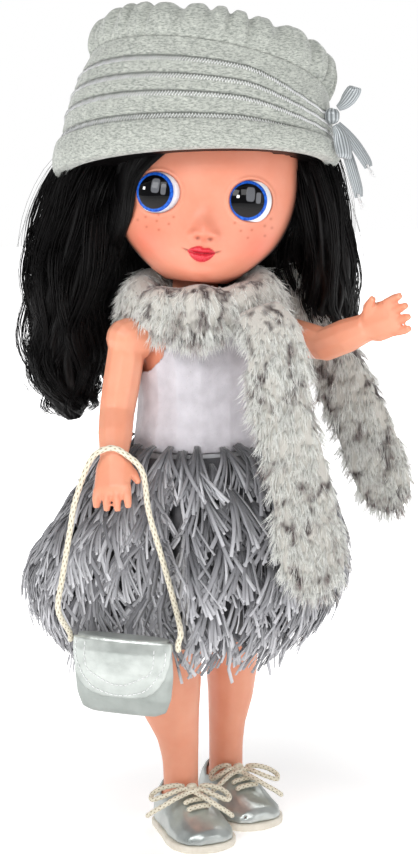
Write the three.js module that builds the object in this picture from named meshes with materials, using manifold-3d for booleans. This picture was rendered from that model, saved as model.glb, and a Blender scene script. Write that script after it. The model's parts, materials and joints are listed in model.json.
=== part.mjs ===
// A vinyl doll that stands in laced shoes, with long hair, a stitched cap, a fur scarf, a sleeveless
// top, a shaggy skirt and a handbag on a cord. Millimetres, Z up, the doll faces -Y on the floor Z = 0.
import * as THREE from "three";
import { mergeVertices } from "three/addons/utils/BufferGeometryUtils.js";
import Module from "manifold-3d";

const wasm = await Module();
wasm.setup();

// Clearances
const GAP = 0.3; // between touching pieces
const SWING = 1.2; // around what turns at a shoulder

// Heights above the floor
const HIP_Z = 146;
const WAIST_Z = 186;
const SHOULDER_Z = 234;
const NECK_Z = 248;
const HEAD_ABOVE_NECK = 56;

// Torso
const CROTCH_Z = 128;
const TORSO_WIDTH = 59; // flat shoulder pad to flat shoulder pad
const CHEST_DEPTH = 44;
const VINYL = 2.6; // wall of the hollow torso and head
const NECK_R = 10.5;
const NECK_X = -2.5; // the leaning head is set over towards the doll's right
const NECK_Y = 4; // and stands this far behind the body's axis
const KNOB_R = 4.5; // stems that snap into the torso and the head
const FLANGE_R = 6.6;
const FLANGE_T = 2;

// Head
const HEAD_WIDTH = 83;
const HEAD_FRONT = 38; // neck-to-crown line forward to the face
const HEAD_BACK = 41;
const HEAD_UP = 40;
const HEAD_DOWN = 46.5;
const HEAD_FORWARD = 5;
const HEAD_LEAN_DEG = 7; // towards the doll's left shoulder
const HEAD_BACK_DEG = 2;
const HEAD_TURN_DEG = -28;
const EYE_SPREAD = 17.5; // each eye from the middle between them
const EYES_ASIDE = 0.65; // that middle, towards the doll's left
const EYE_PROUD = 2.4; // eyeball in front of the face round it
const EYE_DROP = 9.8; // eyes below the head's centre
const EYE_OPENING_R = 9.8;
const EYEBALL_R = 13;
const IRIS_R = 8;
const IRIS_T = 0.8;

// Arms
const ARM_R = 8.4;
const WRIST_R = 6.3;
const SHOULDER_R = 9.4;
const SHOULDER_OUT = 8.5; // pad to the middle of the upper arm
const UPPER_ARM = 32;
const ELBOW_OUT = 7;
const WRIST_DROP = 49.5;
const WRIST_OUT = 15.5;
const LEFT_WRIST_OUT = 16;
const WRIST_FORWARD = 18;
const PALM_LENGTH = 15;
const PALM_WIDTH = 17.5;
const PALM_THICK = 7.4;
const FINGER_LENGTH = 11;
const FINGER_R = 2.1;
const LEFT_ARM_RAISED_DEG = 76;
const RIGHT_HAND_ROLL_DEG = 38;

// Legs
const HIP_X = 14;
const HIP_SLANT_DEG = 35;
const THIGH_R = 17;
const LEG_X = 17;
const ANKLE_X = 15.7;
const FEET_ACROSS = 8.2; // both feet stand this far towards the doll's left
const FEET_BACK = 8; // the ankles stand behind the hips
const CALF_R = 12.4;
const CALF_OUT = 1.2; // the calves stand out from a straight leg
const ANKLE_R = 8.3;
const LEFT_FOOT_BACK = 14; // behind the right foot
const FLOOR_Z = 0; // under the soles
const RIGHT_TOE_DEG = -4; // towards the doll's right
const LEFT_TOE_DEG = 0;

// Shoes
const SHOE_LENGTH = 52;
const SHOE_HEEL = 14.5; // ankle to the back of the heel
const SHOE_WIDTH = 32;
const SOLE_T = 3.4;
const SOLE_RIM = 1; // the sole stands this far out round the upper
const UPPER_HEIGHT = 23;
const LEATHER = 1.1;
const LACE_D = 2.4;
const LEFT_INNER_REACH = 0.62; // the left shoe's bow towards the right shoe
const RIGHT_INNER_REACH = 0.9; // and the right shoe's towards the left

// Top
const TOP_CLOTH = 1;
const TOP_EASE = 1.4;
const TOP_HEM_Z = WAIST_Z - 2;
const CLOSURE_WIDTH = 9;
const ARMHOLE_R = 14;

// Skirt
const SKIRT_HEM_Z = 89;
const SKIRT_WIDTH = 144;
const SKIRT_DEPTH = 144;
const SKIRT_BACK = 11; // the hem's middle lies this far behind the body's axis
const SKIRT_SIDE = 6; // and this far to the doll's right
const SHAG = 13; // thickness of the yarn at the hem
const BAND_T = 1.5;

// Cap
const CAP_WIDTH = 120;
const CAP_TOP_WIDTH = 105;
const CAP_LEAN = 6; // the crown's middle lies this far over to the doll's left
const CAP_CLOTH = 3;
const CAP_PUFF = 3.7; // room for the band's rows, out from its seams
const CAP_FRONT = 0.76; // depth in front over half the width: the cap lies close to the forehead
const CAP_BACK = 0.96;
const BRIM_SLANT_DEG = 14.6; // raised in front
const CROWN_SLANT_DEG = 24;
const BRIM_SIDE_DEG = -2.3; // lowered on the doll's left
const CROWN_SIDE_DEG = 10;
const CAP_RISE = 38.5; // brim plane to crown plane in the middle
const CAP_CROWN = 21;
const CAP_SIDES = 28;
const RUFFLE_LOBES = 20;
const RUFFLE_HEIGHT = 14;
const BRIM_HEIGHT = 9;
const PULL_STEP = 2; // between the places of the band that the hair is cut clear of
const PULLS = 30;
const PULL_SPARE = 0.5; // more than the gap, as the band comes off

// Scarf
const FUR_WIDTH = 32;
const FUR_THICK = 12;
const COLLAR_R = 27;

// Bag
const BAG_WIDTH = 46;
const BAG_HEIGHT = 34;
const BAG_DEPTH = 13;
const BAG_SKIN = 1;
const BAG_TURN_DEG = -19; // turned from the viewer's plane
const FLAP_T = 1;
const FLAP_DROP = 25;
const CORD_D = 2.6;

// The pose is laid out along two level directions: "across" to the viewer's right, "towards" the viewer.
const VIEW_TURN_DEG = 28;
const turn = THREE.MathUtils.degToRad(VIEW_TURN_DEG);
const ACROSS = new THREE.Vector3(Math.cos(turn), -Math.sin(turn), 0);
const TOWARDS = new THREE.Vector3(-Math.sin(turn), -Math.cos(turn), 0);
const PAD_X = TORSO_WIDTH / 2;

const v3 = (x, y, z) => new THREE.Vector3(x, y, z);
const rad = THREE.MathUtils.degToRad;

function seen(across, towards, z) {
  return v3(0, 0, z).addScaledVector(ACROSS, across).addScaledVector(TOWARDS, towards);
}

// Meshes and solids

// A closed surface through rings of points, each end closed by a fan, facing outwards.
function closedLoft(rings) {
  const sides = rings[0].length;
  const points = rings.flat();
  const index = [];
  for (let r = 0; r + 1 < rings.length; r++) {
    for (let s = 0; s < sides; s++) {
      const next = (s + 1) % sides;
      const a = r * sides + s;
      const b = r * sides + next;
      index.push(a, b, b + sides, a, b + sides, a + sides);
    }
  }
  for (const [r, flip] of [[0, true], [rings.length - 1, false]]) {
    const middle = new THREE.Vector3();
    rings[r].forEach((p) => middle.addScaledVector(p, 1 / sides));
    points.push(middle);
    for (let s = 0; s < sides; s++) {
      const a = r * sides + s;
      const b = r * sides + ((s + 1) % sides);
      index.push(...(flip ? [b, a, points.length - 1] : [a, b, points.length - 1]));
    }
  }
  const geometry = new THREE.BufferGeometry().setFromPoints(points);
  geometry.setIndex(index);
  return volume(geometry) < 0 ? turnedRound(geometry) : geometry;
}

function volume(geometry) {
  const p = geometry.getAttribute("position");
  const [a, b, c] = [v3(), v3(), v3()];
  let sum = 0;
  for (let i = 0; i < geometry.index.count; i += 3) {
    a.fromBufferAttribute(p, geometry.index.getX(i));
    b.fromBufferAttribute(p, geometry.index.getX(i + 1));
    c.fromBufferAttribute(p, geometry.index.getX(i + 2));
    sum += a.dot(b.cross(c)) / 6;
  }
  return sum;
}

function turnedRound(geometry) {
  const list = Array.from(geometry.index.array);
  for (let i = 0; i < list.length; i += 3) {
    [list[i + 1], list[i + 2]] = [list[i + 2], list[i + 1]];
  }
  geometry.setIndex(list);
  return geometry;
}

function solid(geometry, matrix) {
  const g = geometry.clone();
  g.deleteAttribute("normal");
  g.deleteAttribute("uv");
  if (matrix) g.applyMatrix4(matrix);
  const merged = mergeVertices(g, 1e-4);
  return new wasm.Manifold(
    new wasm.Mesh({
      numProp: 3,
      vertProperties: merged.attributes.position.array,
      triVerts: new Uint32Array(merged.index.array),
    }),
  );
}

function surface(manifold) {
  const mesh = manifold.getMesh();
  const geometry = new THREE.BufferGeometry();
  geometry.setAttribute("position", new THREE.BufferAttribute(mesh.vertProperties, mesh.numProp));
  geometry.setIndex(new THREE.BufferAttribute(mesh.triVerts, 1));
  geometry.computeVertexNormals();
  return geometry;
}

function cut(body, ...tools) {
  return tools.reduce((left, tool) => left.subtract(tool), body);
}

function joined(first, ...rest) {
  return rest.reduce((sum, one) => sum.add(one), first);
}

// The largest connected piece, without the slivers that a cut can leave.
function mainBody(manifold) {
  return manifold.decompose().reduce((best, one) => (one.volume() > best.volume() ? one : best));
}

function box(from, to) {
  const size = to.clone().sub(from);
  const middle = from.clone().add(to).multiplyScalar(0.5);
  return solid(new THREE.BoxGeometry(size.x, size.y, size.z).translate(middle.x, middle.y, middle.z));
}

// A round bar from one point to another.
function bar(from, to, radius, sides = 16) {
  const along = to.clone().sub(from);
  const geometry = new THREE.CylinderGeometry(radius, radius, along.length(), sides);
  const lie = new THREE.Quaternion().setFromUnitVectors(v3(0, 1, 0), along.clone().normalize());
  geometry.applyQuaternion(lie);
  geometry.translate(...from.clone().add(to).multiplyScalar(0.5).toArray());
  return solid(geometry);
}

// Everything on the far side of a plane, out to a large distance.
function beyond(point, normal) {
  const far = 300;
  return bar(point, point.clone().addScaledVector(normal, far), far, 8);
}

// A level oval ring of points: half width, reach to the front and to the back, and its middle.
function oval(z, half, front, back, x = 0, y = 0, sides = 24, power = 2) {
  return Array.from({ length: sides }, (_, i) => {
    const t = (i / sides) * 2 * Math.PI;
    const c = Math.sign(Math.cos(t)) * Math.abs(Math.cos(t)) ** (2 / power);
    const s = Math.sign(Math.sin(t)) * Math.abs(Math.sin(t)) ** (2 / power);
    return v3(x + half * c, y + (s < 0 ? front : back) * s, z);
  });
}

// A limb or lock: ovals square to a path. Each station is [point, half width, half thickness].
function limb(stations, widthAxis, { sides = 12, grow = 0 } = {}) {
  const at = stations.map(([p]) => p);
  const rings = stations.map(([p, wide, thick], i) => {
    const ahead = at[Math.min(i + 1, at.length - 1)].clone();
    const along = ahead.sub(at[Math.max(i - 1, 0)]).normalize();
    const side = widthAxis.clone().addScaledVector(along, -widthAxis.dot(along)).normalize();
    const up = along.clone().cross(side);
    const last = i === 0 ? -1 : i === at.length - 1 ? 1 : 0;
    const centre = p.clone().addScaledVector(along, last * grow);
    return Array.from({ length: sides }, (_, k) => {
      const t = (k / sides) * 2 * Math.PI;
      return centre
        .clone()
        .addScaledVector(side, (wide + grow) * Math.cos(t))
        .addScaledVector(up, (thick + grow) * Math.sin(t));
    });
  });
  return solid(closedLoft(rings));
}

// A cord's tube through hand-placed points.
function cordTube(points, diameter, sides = 8) {
  const path = new THREE.CatmullRomCurve3(points);
  const shape = new THREE.Shape();
  for (let i = 0; i < sides; i++) {
    const t = (i / sides) * 2 * Math.PI;
    const [x, y] = [(diameter / 2) * Math.cos(t), (diameter / 2) * Math.sin(t)];
    if (i === 0) shape.moveTo(x, y);
    else shape.lineTo(x, y);
  }
  shape.closePath();
  const steps = Math.max(6, Math.round(path.getLength() / (2.2 * diameter)));
  return solid(new THREE.ExtrudeGeometry(shape, { steps, extrudePath: path, bevelEnabled: false }));
}

// Materials
function material(color, roughness, metalness = 0) {
  return new THREE.MeshStandardMaterial({ color, roughness, metalness });
}

const SKIN = () => material(0xf0ae8c, 0.5);
const HAIR = () => material(0x100d0e, 0.45);
const CAP = () => material(0xb5b9b2, 0.95);
const FUR = () => material(0xd0d2ce, 1);
const YARN = () => material(0x8f8f93, 0.8);
const SILVER = () => material(0xb9bcbe, 0.35, 0.6);
const BRAID = () => material(0xdad3c0, 0.7, 0.1);

function named(name, manifold, finish) {
  const mesh = new THREE.Mesh(surface(manifold), finish);
  mesh.name = name;
  return mesh;
}

// Torso: [height, half width, front, back] from the crotch to the foot of the neck
function torsoForm(grow = 0) {
  const half = PAD_X + 1.5;
  const deep = CHEST_DEPTH / 2;
  const low = HIP_Z - CROTCH_Z;
  const waist = WAIST_Z - HIP_Z;
  const high = SHOULDER_Z - WAIST_Z;
  const stations = [
    [CROTCH_Z, 7, 7, 9],
    [CROTCH_Z + 0.3 * low, 16, 13, 16],
    [HIP_Z, half - 6, deep - 3, deep],
    [HIP_Z + 0.25 * waist, half - 2, deep, deep + 3],
    [HIP_Z + 0.6 * waist, half, deep + 1, deep + 2],
    [WAIST_Z, half - 2, deep + 1, deep - 1],
    [WAIST_Z + 0.4 * high, half - 3.5, deep + 1, deep - 2],
    [SHOULDER_Z - 12, half - 2.5, deep, deep - 2],
    [SHOULDER_Z, half - 0.5, deep - 3, deep - 3],
    [SHOULDER_Z + 9, half - 2.5, deep - 7, deep - 7],
    [NECK_Z - 1.5, half - 11, deep - 9, deep - 9],
    [NECK_Z + 1, NECK_R, NECK_R - NECK_Y, NECK_R + NECK_Y],
  ];
  const last = stations.length - 1;
  const rings = stations.map(([z, a, front, back], i) => {
    const lift = i === 0 ? -grow : i === last ? grow : 0;
    return oval(z + lift, a + grow, front + grow, back + grow, 0, 0, 16, 2.3);
  });
  return solid(closedLoft(rings));
}

// The neck's frame: the head leans and turns on it.
const neckFrame = new THREE.Group();
neckFrame.position.set(NECK_X, NECK_Y, NECK_Z);
neckFrame.rotation.set(rad(-HEAD_BACK_DEG), rad(HEAD_LEAN_DEG), 0, "XYZ");
neckFrame.updateMatrixWorld(true);
const headFrame = new THREE.Group();
headFrame.rotation.z = rad(HEAD_TURN_DEG);
neckFrame.add(headFrame);
headFrame.updateMatrixWorld(true);
const NECK_TOP = HEAD_ABOVE_NECK - HEAD_DOWN + 3; // in the neck's frame
const neckAxisIn = (z) => v3(0, 0, z);

function shoulderPad(side) {
  return v3(side * PAD_X, 0, SHOULDER_Z);
}

function hipNormal(side) {
  return v3(side * Math.cos(rad(HIP_SLANT_DEG)), 0, -Math.sin(rad(HIP_SLANT_DEG)));
}

function hipPoint(side) {
  return v3(side * HIP_X, 0, HIP_Z);
}

function torsoShell() {
  const neck = (radius, from, to) =>
    solid(
      surface(bar(neckAxisIn(from), neckAxisIn(to), radius)),
      neckFrame.matrixWorld,
    );
  const neckDeep = -8;
  let shell = joined(torsoForm(), neck(NECK_R, neckDeep, NECK_TOP - GAP));
  let hollow = torsoForm(-VINYL);
  for (const side of [-1, 1]) {
    const pad = shoulderPad(side);
    shell = cut(shell, beyond(pad, v3(side, 0, 0)), beyond(hipPoint(side), hipNormal(side)));
    const inPad = pad.clone().add(v3(-side * VINYL, 0, 0));
    const inHip = hipPoint(side).addScaledVector(hipNormal(side), -VINYL);
    hollow = cut(hollow, beyond(inPad, v3(side, 0, 0)), beyond(inHip, hipNormal(side)));
  }
  shell = cut(shell, hollow, neck(KNOB_R + GAP, neckDeep - 6, NECK_TOP + 1));
  for (const side of [-1, 1]) {
    const pad = shoulderPad(side);
    const hip = hipPoint(side);
    const hole = KNOB_R + GAP;
    shell = cut(
      shell,
      bar(pad.clone().add(v3(-side * 2 * VINYL, 0, 0)), pad.clone().add(v3(side, 0, 0)), hole),
      bar(
        pad.clone().add(v3(-side * VINYL, 0, 0)),
        pad.clone().add(v3(-side * (VINYL + FLANGE_T + 1.6), 0, 0)),
        FLANGE_R + 2 * GAP,
      ),
      bar(
        hip.clone().addScaledVector(hipNormal(side), -2 * VINYL),
        hip.clone().addScaledVector(hipNormal(side), 1),
        hole,
      ),
    );
  }
  return mainBody(shell);
}

// The stem through the neck with a flange at each end, in the neck's frame.
function neckPlug() {
  const low = -8 - VINYL;
  return joined(
    bar(neckAxisIn(low), neckAxisIn(NECK_TOP + VINYL + 4.5), KNOB_R),
    bar(neckAxisIn(NECK_TOP + VINYL + GAP + 0.6), neckAxisIn(NECK_TOP + VINYL + 4.5), FLANGE_R),
  );
}

// Head, in its own frame: the neck's axis is x = y = 0 and the centre is HEAD_ABOVE_NECK up.
function headForm(grow = 0, sides = 20) {
  const half = HEAD_WIDTH / 2;
  const y = -HEAD_FORWARD;
  const rows = [
    [-1, 0.33, 0.6, 0.46],
    [-0.92, 0.48, 0.82, 0.58],
    [-0.8, 0.64, 0.93, 0.68],
    [-0.62, 0.82, 0.97, 0.78],
    [-0.4, 0.94, 0.985, 0.9],
    [-0.15, 1, 0.99, 0.97],
    [0.1, 1, 1, 1],
    [0.35, 0.98, 0.97, 1],
    [0.58, 0.9, 0.88, 0.93],
    [0.78, 0.73, 0.7, 0.76],
    [0.92, 0.48, 0.45, 0.5],
    [1, 0.2, 0.18, 0.2],
  ];
  const last = rows.length - 1;
  const rings = rows.map(([h, wide, front, back], i) => {
    const lift = i === 0 ? -grow : i === last ? grow : 0;
    const z = HEAD_ABOVE_NECK + h * (h < 0 ? HEAD_DOWN : HEAD_UP) + lift;
    return oval(
      z,
      wide * half + grow,
      front * HEAD_FRONT + grow,
      back * HEAD_BACK + grow,
      0,
      y,
      sides,
      2.15,
    );
  });
  return solid(closedLoft(rings));
}

function eyeCentre(side) {
  const z = HEAD_ABOVE_NECK - EYE_DROP;
  const x = side * EYE_SPREAD + EYES_ASIDE;
  const faceY = -HEAD_FORWARD - HEAD_FRONT * Math.sqrt(1 - (x / (HEAD_WIDTH / 2)) ** 2);
  return v3(x, faceY + EYEBALL_R - EYE_PROUD, z);
}

// Each eye looks a little outwards, as its part of the face does.
function eyeAim(side) {
  return v3(side * 0.22, -1, 0).normalize();
}

function ball(centre, radius, across = 24, up = 14) {
  return solid(new THREE.SphereGeometry(radius, across, up).translate(...centre.toArray()));
}

function headShell() {
  const seat = HEAD_ABOVE_NECK - HEAD_DOWN;
  let shell = cut(
    headForm(),
    bar(neckAxisIn(seat - 20), neckAxisIn(NECK_TOP), NECK_R + 1),
    cut(headForm(-VINYL, 14), bar(neckAxisIn(seat), neckAxisIn(NECK_TOP + VINYL), NECK_R + 1 + VINYL)),
    bar(neckAxisIn(seat - 20), neckAxisIn(NECK_TOP + VINYL + 0.5), KNOB_R + GAP),
  );
  for (const side of [-1, 1]) {
    const centre = eyeCentre(side);
    const aim = eyeAim(side);
    const out = centre.clone().addScaledVector(aim, EYEBALL_R + 6);
    const socket = bar(centre.clone().addScaledVector(aim, 2), out, EYE_OPENING_R + GAP);
    shell = cut(shell, socket);
  }
  return mainBody(shell);
}

// A dish turned from a ball's surface: its front at one radius and its back at another, or flat.
function ballDish(side, aim, outerR, innerR, rim, flatAt) {
  const steps = 5;
  const arc = (radius) =>
    Array.from({ length: steps + 1 }, (_, i) => {
      const r = (i / steps) * rim;
      return [r, Math.sqrt(radius ** 2 - r ** 2)];
    });
  const back = flatAt === undefined ? arc(innerR) : [[0, flatAt], [rim, flatAt]];
  const profile = [...back, ...arc(outerR).reverse()].map(([r, z]) => new THREE.Vector2(r, z));
  const dish = new THREE.LatheGeometry(profile, 16);
  dish.applyQuaternion(new THREE.Quaternion().setFromUnitVectors(v3(0, 1, 0), aim));
  dish.translate(...eyeCentre(side).toArray());
  const made = mergeVertices(dish.deleteAttribute("normal").deleteAttribute("uv"), 1e-4);
  return solid(volume(made) < 0 ? turnedRound(made) : made);
}

// The glossy white of the eye: the front of a ball with a flat back, held in the round socket.
function eyeball(side) {
  return ballDish(side, eyeAim(side), EYEBALL_R, 0, EYE_OPENING_R, 3);
}

// A thin dark dish on the ball, set towards the doll's right.
function iris(side) {
  const aim = eyeAim(side).applyAxisAngle(v3(0, 0, 1), rad(-8));
  return ballDish(side, aim, EYEBALL_R + GAP + IRIS_T, EYEBALL_R + GAP, IRIS_R);
}

// Cap: its band runs between a brim ring and a crown ring on two different slants. Doll's own frame.
const CAP_CENTRE = seen(-3, 4, 308);
function capLean(share) {
  const front = THREE.MathUtils.lerp(BRIM_SLANT_DEG, CROWN_SLANT_DEG, share);
  const side = THREE.MathUtils.lerp(BRIM_SIDE_DEG, CROWN_SIDE_DEG, share);
  return new THREE.Quaternion()
    .setFromAxisAngle(TOWARDS, rad(-side))
    .multiply(new THREE.Quaternion().setFromAxisAngle(ACROSS, rad(-front)));
}

function capRing(share, grow = 0, sides = CAP_SIDES) {
  const half = THREE.MathUtils.lerp(CAP_WIDTH, CAP_TOP_WIDTH, share ** 2) / 2 + grow;
  const lean = capLean(share);
  const middle = CAP_CENTRE.clone()
    .add(v3(0, 0, CAP_RISE * share))
    .addScaledVector(TOWARDS, -4 * share)
    .addScaledVector(ACROSS, CAP_LEAN * share ** 2);
  return Array.from({ length: sides }, (_, i) => {
    const t = (i / sides) * 2 * Math.PI;
    const deep = Math.sin(t) > 0 ? CAP_FRONT : CAP_BACK;
    return v3()
      .addScaledVector(ACROSS, half * Math.cos(t))
      .addScaledVector(TOWARDS, half * deep * Math.sin(t))
      .applyQuaternion(lean)
      .add(middle);
  });
}

function capBand() {
  const rings = [0, 0.3, 0.65, 1].map((share) => capRing(share));
  return cut(solid(closedLoft(rings)), capHollow([-0.12, 0, 0.3, 0.65, 1, 1.12]));
}

// The room inside the band between rings at the given shares of its rise, outside 0 to 1 carried on.
function capHollow(shares, grow = 0) {
  const rings = shares.map((share) => {
    const within = THREE.MathUtils.clamp(share, 0, 1);
    const beyondEdge = v3(0, 0, (share - within) * CAP_RISE);
    return capRing(within, -CAP_CLOTH + grow).map((p) => p.add(beyondEdge));
  });
  return solid(closedLoft(rings));
}

// Rings that follow the crown's edge, each scaled about its middle and lifted square to it. A wave
// draws the rim into lobes.
function crownRings(seatGrow, rows, sides) {
  const seat = capRing(1, seatGrow, sides);
  const up = v3(0, 0, 1).applyQuaternion(capLean(1));
  const middle = v3();
  seat.forEach((p) => middle.addScaledVector(p, 1 / sides));
  return rows.map(([scale, lift, lobes = 0]) =>
    seat.map((p, i) => {
      const wave = Math.cos((i / sides) * RUFFLE_LOBES * 2 * Math.PI);
      return p
        .clone()
        .sub(middle)
        .multiplyScalar(scale + lobes * wave)
        .add(middle)
        .addScaledVector(up, lift + 60 * lobes * wave);
    }),
  );
}

// The crown: a shallow dome over the band's inside, open below.
function crownDome(grow = 0, drop = 0) {
  const rows = [
    [1, GAP - drop],
    [1, GAP + 1 + grow],
    [0.97, 5 + grow],
    [0.88, 0.62 * CAP_CROWN + grow],
    [0.6, 0.92 * CAP_CROWN + grow],
    [0.22, CAP_CROWN + grow],
  ];
  return solid(closedLoft(crownRings(-CAP_CLOTH - GAP + grow, rows, CAP_SIDES)));
}

function capCrown() {
  return cut(crownDome(), crownDome(-CAP_CLOTH, 4));
}

// The frill gathered round the crown's edge: it stands on the band and leans in over the dome.
function capRuffle() {
  const sides = RUFFLE_LOBES * 3;
  const outer = crownRings(
    -0.6,
    [
      [1, GAP],
      [1.035, 0.3 * RUFFLE_HEIGHT, 0.01],
      [1.0, 0.75 * RUFFLE_HEIGHT, 0.016],
      [0.86, RUFFLE_HEIGHT, 0.016],
    ],
    sides,
  );
  return mainBody(cut(solid(closedLoft(outer)), crownDome(GAP, 5)));
}

// The turned-up lower edge, a soft roll outside the band.
function capBrim() {
  const rows = [
    [0.0, 0.9],
    [0.05, 2.8],
    [0.15, 2.7],
    [BRIM_HEIGHT / CAP_RISE, 1.3],
  ];
  const rings = rows.map(([share, grow]) => capRing(share, grow));
  const inner = [-0.02, 0.4].map((share) => {
    const ring = capRing(Math.max(share, 0), GAP + 0.3);
    return share < 0 ? ring.map((p) => p.add(v3(0, 0, -1))) : ring;
  });
  return mainBody(cut(solid(closedLoft(rings)), solid(closedLoft(inner))));
}

// Organza bow on the cap's left side: a knot, two short loops and two frayed tails.
const BOW = seen(55.9, 17.6, 331);
const BOW_STRIPS = [
  ["bow_loop_upper", seen(70.5, 20, 343.5), 4.5, 2],
  ["bow_loop_lower", seen(64, 21, 313), 4, 2],
  ["bow_tail_long", seen(72.5, 17, 294), 3.6, 0.8],
  ["bow_tail_short", seen(77, 18, 308), 3.2, 0.8],
];

function bowKnot(grow = 0) {
  const lump = new THREE.SphereGeometry(1, 10, 6).scale(3 + grow, 3.4 + grow, 3.6 + grow);
  return solid(lump.translate(...BOW.toArray()));
}

function bowStrip(to, wide, thick, nearer = 0) {
  const start = BOW.clone().lerp(to, (4.2 - nearer) / BOW.distanceTo(to));
  const middle = start.clone().lerp(to, 0.5).addScaledVector(ACROSS, 1.2);
  return limb(
    [
      [start, 1.6, 1],
      [middle, wide, thick],
      [to, wide * 0.8, thick * 0.7],
    ],
    TOWARDS,
    { sides: 8 },
  );
}

// The cap and its brim with the gap that the bow keeps
function capRoomForBow() {
  const rings = [0, 0.3, 0.65, 1].map((share) => capRing(share, GAP));
  const brim = [0, 0.1, 0.24].map((share) => capRing(share, GAP + 3.2));
  return joined(solid(closedLoft(rings)), solid(closedLoft(brim)));
}

function pulledOff(piece) {
  const pull = v3(0, 0, 1).applyQuaternion(capLean(0.5));
  return Array.from({ length: PULLS }, (_, i) => {
    const step = pull.clone().multiplyScalar((i + 1) * PULL_STEP);
    return piece.translate(step.toArray());
  });
}

// Hair. Under the cap it stays out of the way that the band takes when the cap is pulled off.
function capFill() {
  const wall = cut(
    solid(closedLoft([0, 0.3, 0.65, 1].map((share) => capRing(share)))),
    capHollow([-0.12, 0, 0.3, 0.65, 1, 1.12], -GAP - PULL_SPARE),
  );
  const filled = cut(
    capHollow([0, 0.3, 0.65, 0.95], -GAP - 0.4),
    solid(surface(headForm(GAP + 0.2)), headFrame.matrixWorld),
    ...pulledOff(wall),
  );
  return mainBody(filled);
}

function rightHair(grow = 0) {
  const lock = [
    [seen(-42, -3, 317), 11, 18],
    [seen(-50, -3, 300), 19, 23],
    [seen(-56, -3, 279), 21.5, 23],
    [seen(-60, -4, 258), 21, 22],
    [seen(-62.5, -6, 240), 20, 20],
    [seen(-63, -7, 223), 18, 17],
    [seen(-61, -7, 208), 15, 15],
    [seen(-60, -7, 197), 8, 8],
  ];
  return limb(lock, ACROSS, { sides: 12, grow });
}

function leftHair(grow = 0) {
  const lock = [
    [seen(44, -8, 318), 11, 18],
    [seen(50, -9, 302), 12, 21],
    [seen(54, -12, 284), 12.5, 21],
    [seen(57, -20, 264), 13.5, 18],
    [seen(58, -32, 248), 13.5, 16],
    [seen(60, -40, 232), 13.5, 13],
    [seen(58, -42, 216), 11, 11],
    [seen(56, -42, 206), 6, 6],
  ];
  return limb(lock, ACROSS, { sides: 12, grow });
}

function backHair(grow = 0) {
  const fall = [
    [seen(-3, -38, 309), 44, 17],
    [seen(-4, -43, 297), 49, 17],
    [seen(-6, -45, 280), 51, 17],
    [seen(-8, -46, 258), 52, 17],
    [seen(-8, -46, 236), 51, 15],
    [seen(-8, -45, 214), 47, 13],
    [seen(-8, -44, 202), 38, 9],
  ];
  return limb(fall, ACROSS, { sides: 16, grow });
}

function headRoom() {
  return solid(surface(headForm(GAP)), headFrame.matrixWorld);
}

// The cap's room and what it passes through when it is pulled off
function capRoom() {
  const room = capHollow([-0.02, 0, 0.3, 0.65, 1], CAP_CLOTH + GAP + CAP_PUFF);
  return joined(room, ...pulledOff(room));
}

// Scarf
function collarForm(grow = 0) {
  const sides = 8;
  const around = 20;
  const points = [];
  const index = [];
  for (let i = 0; i < around; i++) {
    const t = (i / around) * 2 * Math.PI;
    const out = v3().addScaledVector(ACROSS, Math.cos(t)).addScaledVector(TOWARDS, Math.sin(t));
    const tall = 14.5 + grow;
    const thick = 11.5 + grow;
    const drop = 3.5 * Math.sin(t) - 1.5 * Math.cos(t);
    const middle = seen(-1, 2, 250 - drop).addScaledVector(out, COLLAR_R);
    for (let k = 0; k < sides; k++) {
      const s = (k / sides) * 2 * Math.PI;
      points.push(
        middle.clone().addScaledVector(out, thick * Math.cos(s)).add(v3(0, 0, tall * Math.sin(s))),
      );
      const a = i * sides + k;
      const b = i * sides + ((k + 1) % sides);
      const c = ((i + 1) % around) * sides + ((k + 1) % sides);
      const d = ((i + 1) % around) * sides + k;
      index.push(a, b, c, a, c, d);
    }
  }
  const geometry = new THREE.BufferGeometry().setFromPoints(points);
  geometry.setIndex(index);
  return solid(volume(geometry) < 0 ? turnedRound(geometry) : geometry);
}

function frontEnd(grow = 0) {
  const wide = FUR_WIDTH / 2;
  const thick = FUR_THICK / 2;
  const fall = [
    [seen(24, 31, 248), wide - 3, thick],
    [seen(29, 39, 239), wide - 1, thick],
    [seen(32, 43, 226), wide, thick],
    [seen(34, 42, 210), wide, thick],
    [seen(38, 44, 192), wide, thick + 0.5],
    [seen(43, 52, 170), wide, thick + 0.5],
    [seen(46, 60, 150), wide + 1, thick + 0.5],
    [seen(48, 64, 138), wide - 1, thick],
    [seen(49, 65, 131), wide - 7, thick - 2],
  ];
  return limb(fall, ACROSS, { sides: 12, grow });
}

function backEnd(grow = 0) {
  const wide = FUR_WIDTH / 2;
  const thick = FUR_THICK / 2;
  const fall = [
    [seen(36, -28, 257), wide - 4, thick - 1],
    [seen(45, -30, 250), wide - 3, thick],
    [seen(54, -29, 238), wide - 2, thick],
    [seen(60, -27, 222), wide - 1, thick],
    [seen(67, -25, 204), wide, thick + 0.5],
    [seen(75, -24, 186), wide, thick + 0.5],
    [seen(82, -23, 168), wide, thick],
    [seen(86, -22, 155), wide - 2, thick - 0.5],
    [seen(88, -22, 148), wide - 8, thick - 2.5],
  ];
  return limb(fall, ACROSS, { sides: 12, grow });
}

function shoulderRoom(side) {
  return bar(
    v3(side * (PAD_X - 0.1), 0, SHOULDER_Z),
    v3(side * (PAD_X + 26), 0, SHOULDER_Z),
    SHOULDER_R + SWING,
  );
}

function armRoom(side) {
  const frame = armFrame(side);
  return solid(surface(armForm(side, SWING)), frame.matrixWorld);
}

// Arms, in a frame at the shoulder pad's middle
function armFrame(side) {
  const frame = new THREE.Group();
  frame.position.copy(shoulderPad(side));
  frame.rotation.x = side > 0 ? rad(-LEFT_ARM_RAISED_DEG) : 0;
  frame.updateMatrixWorld(true);
  return frame;
}

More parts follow.
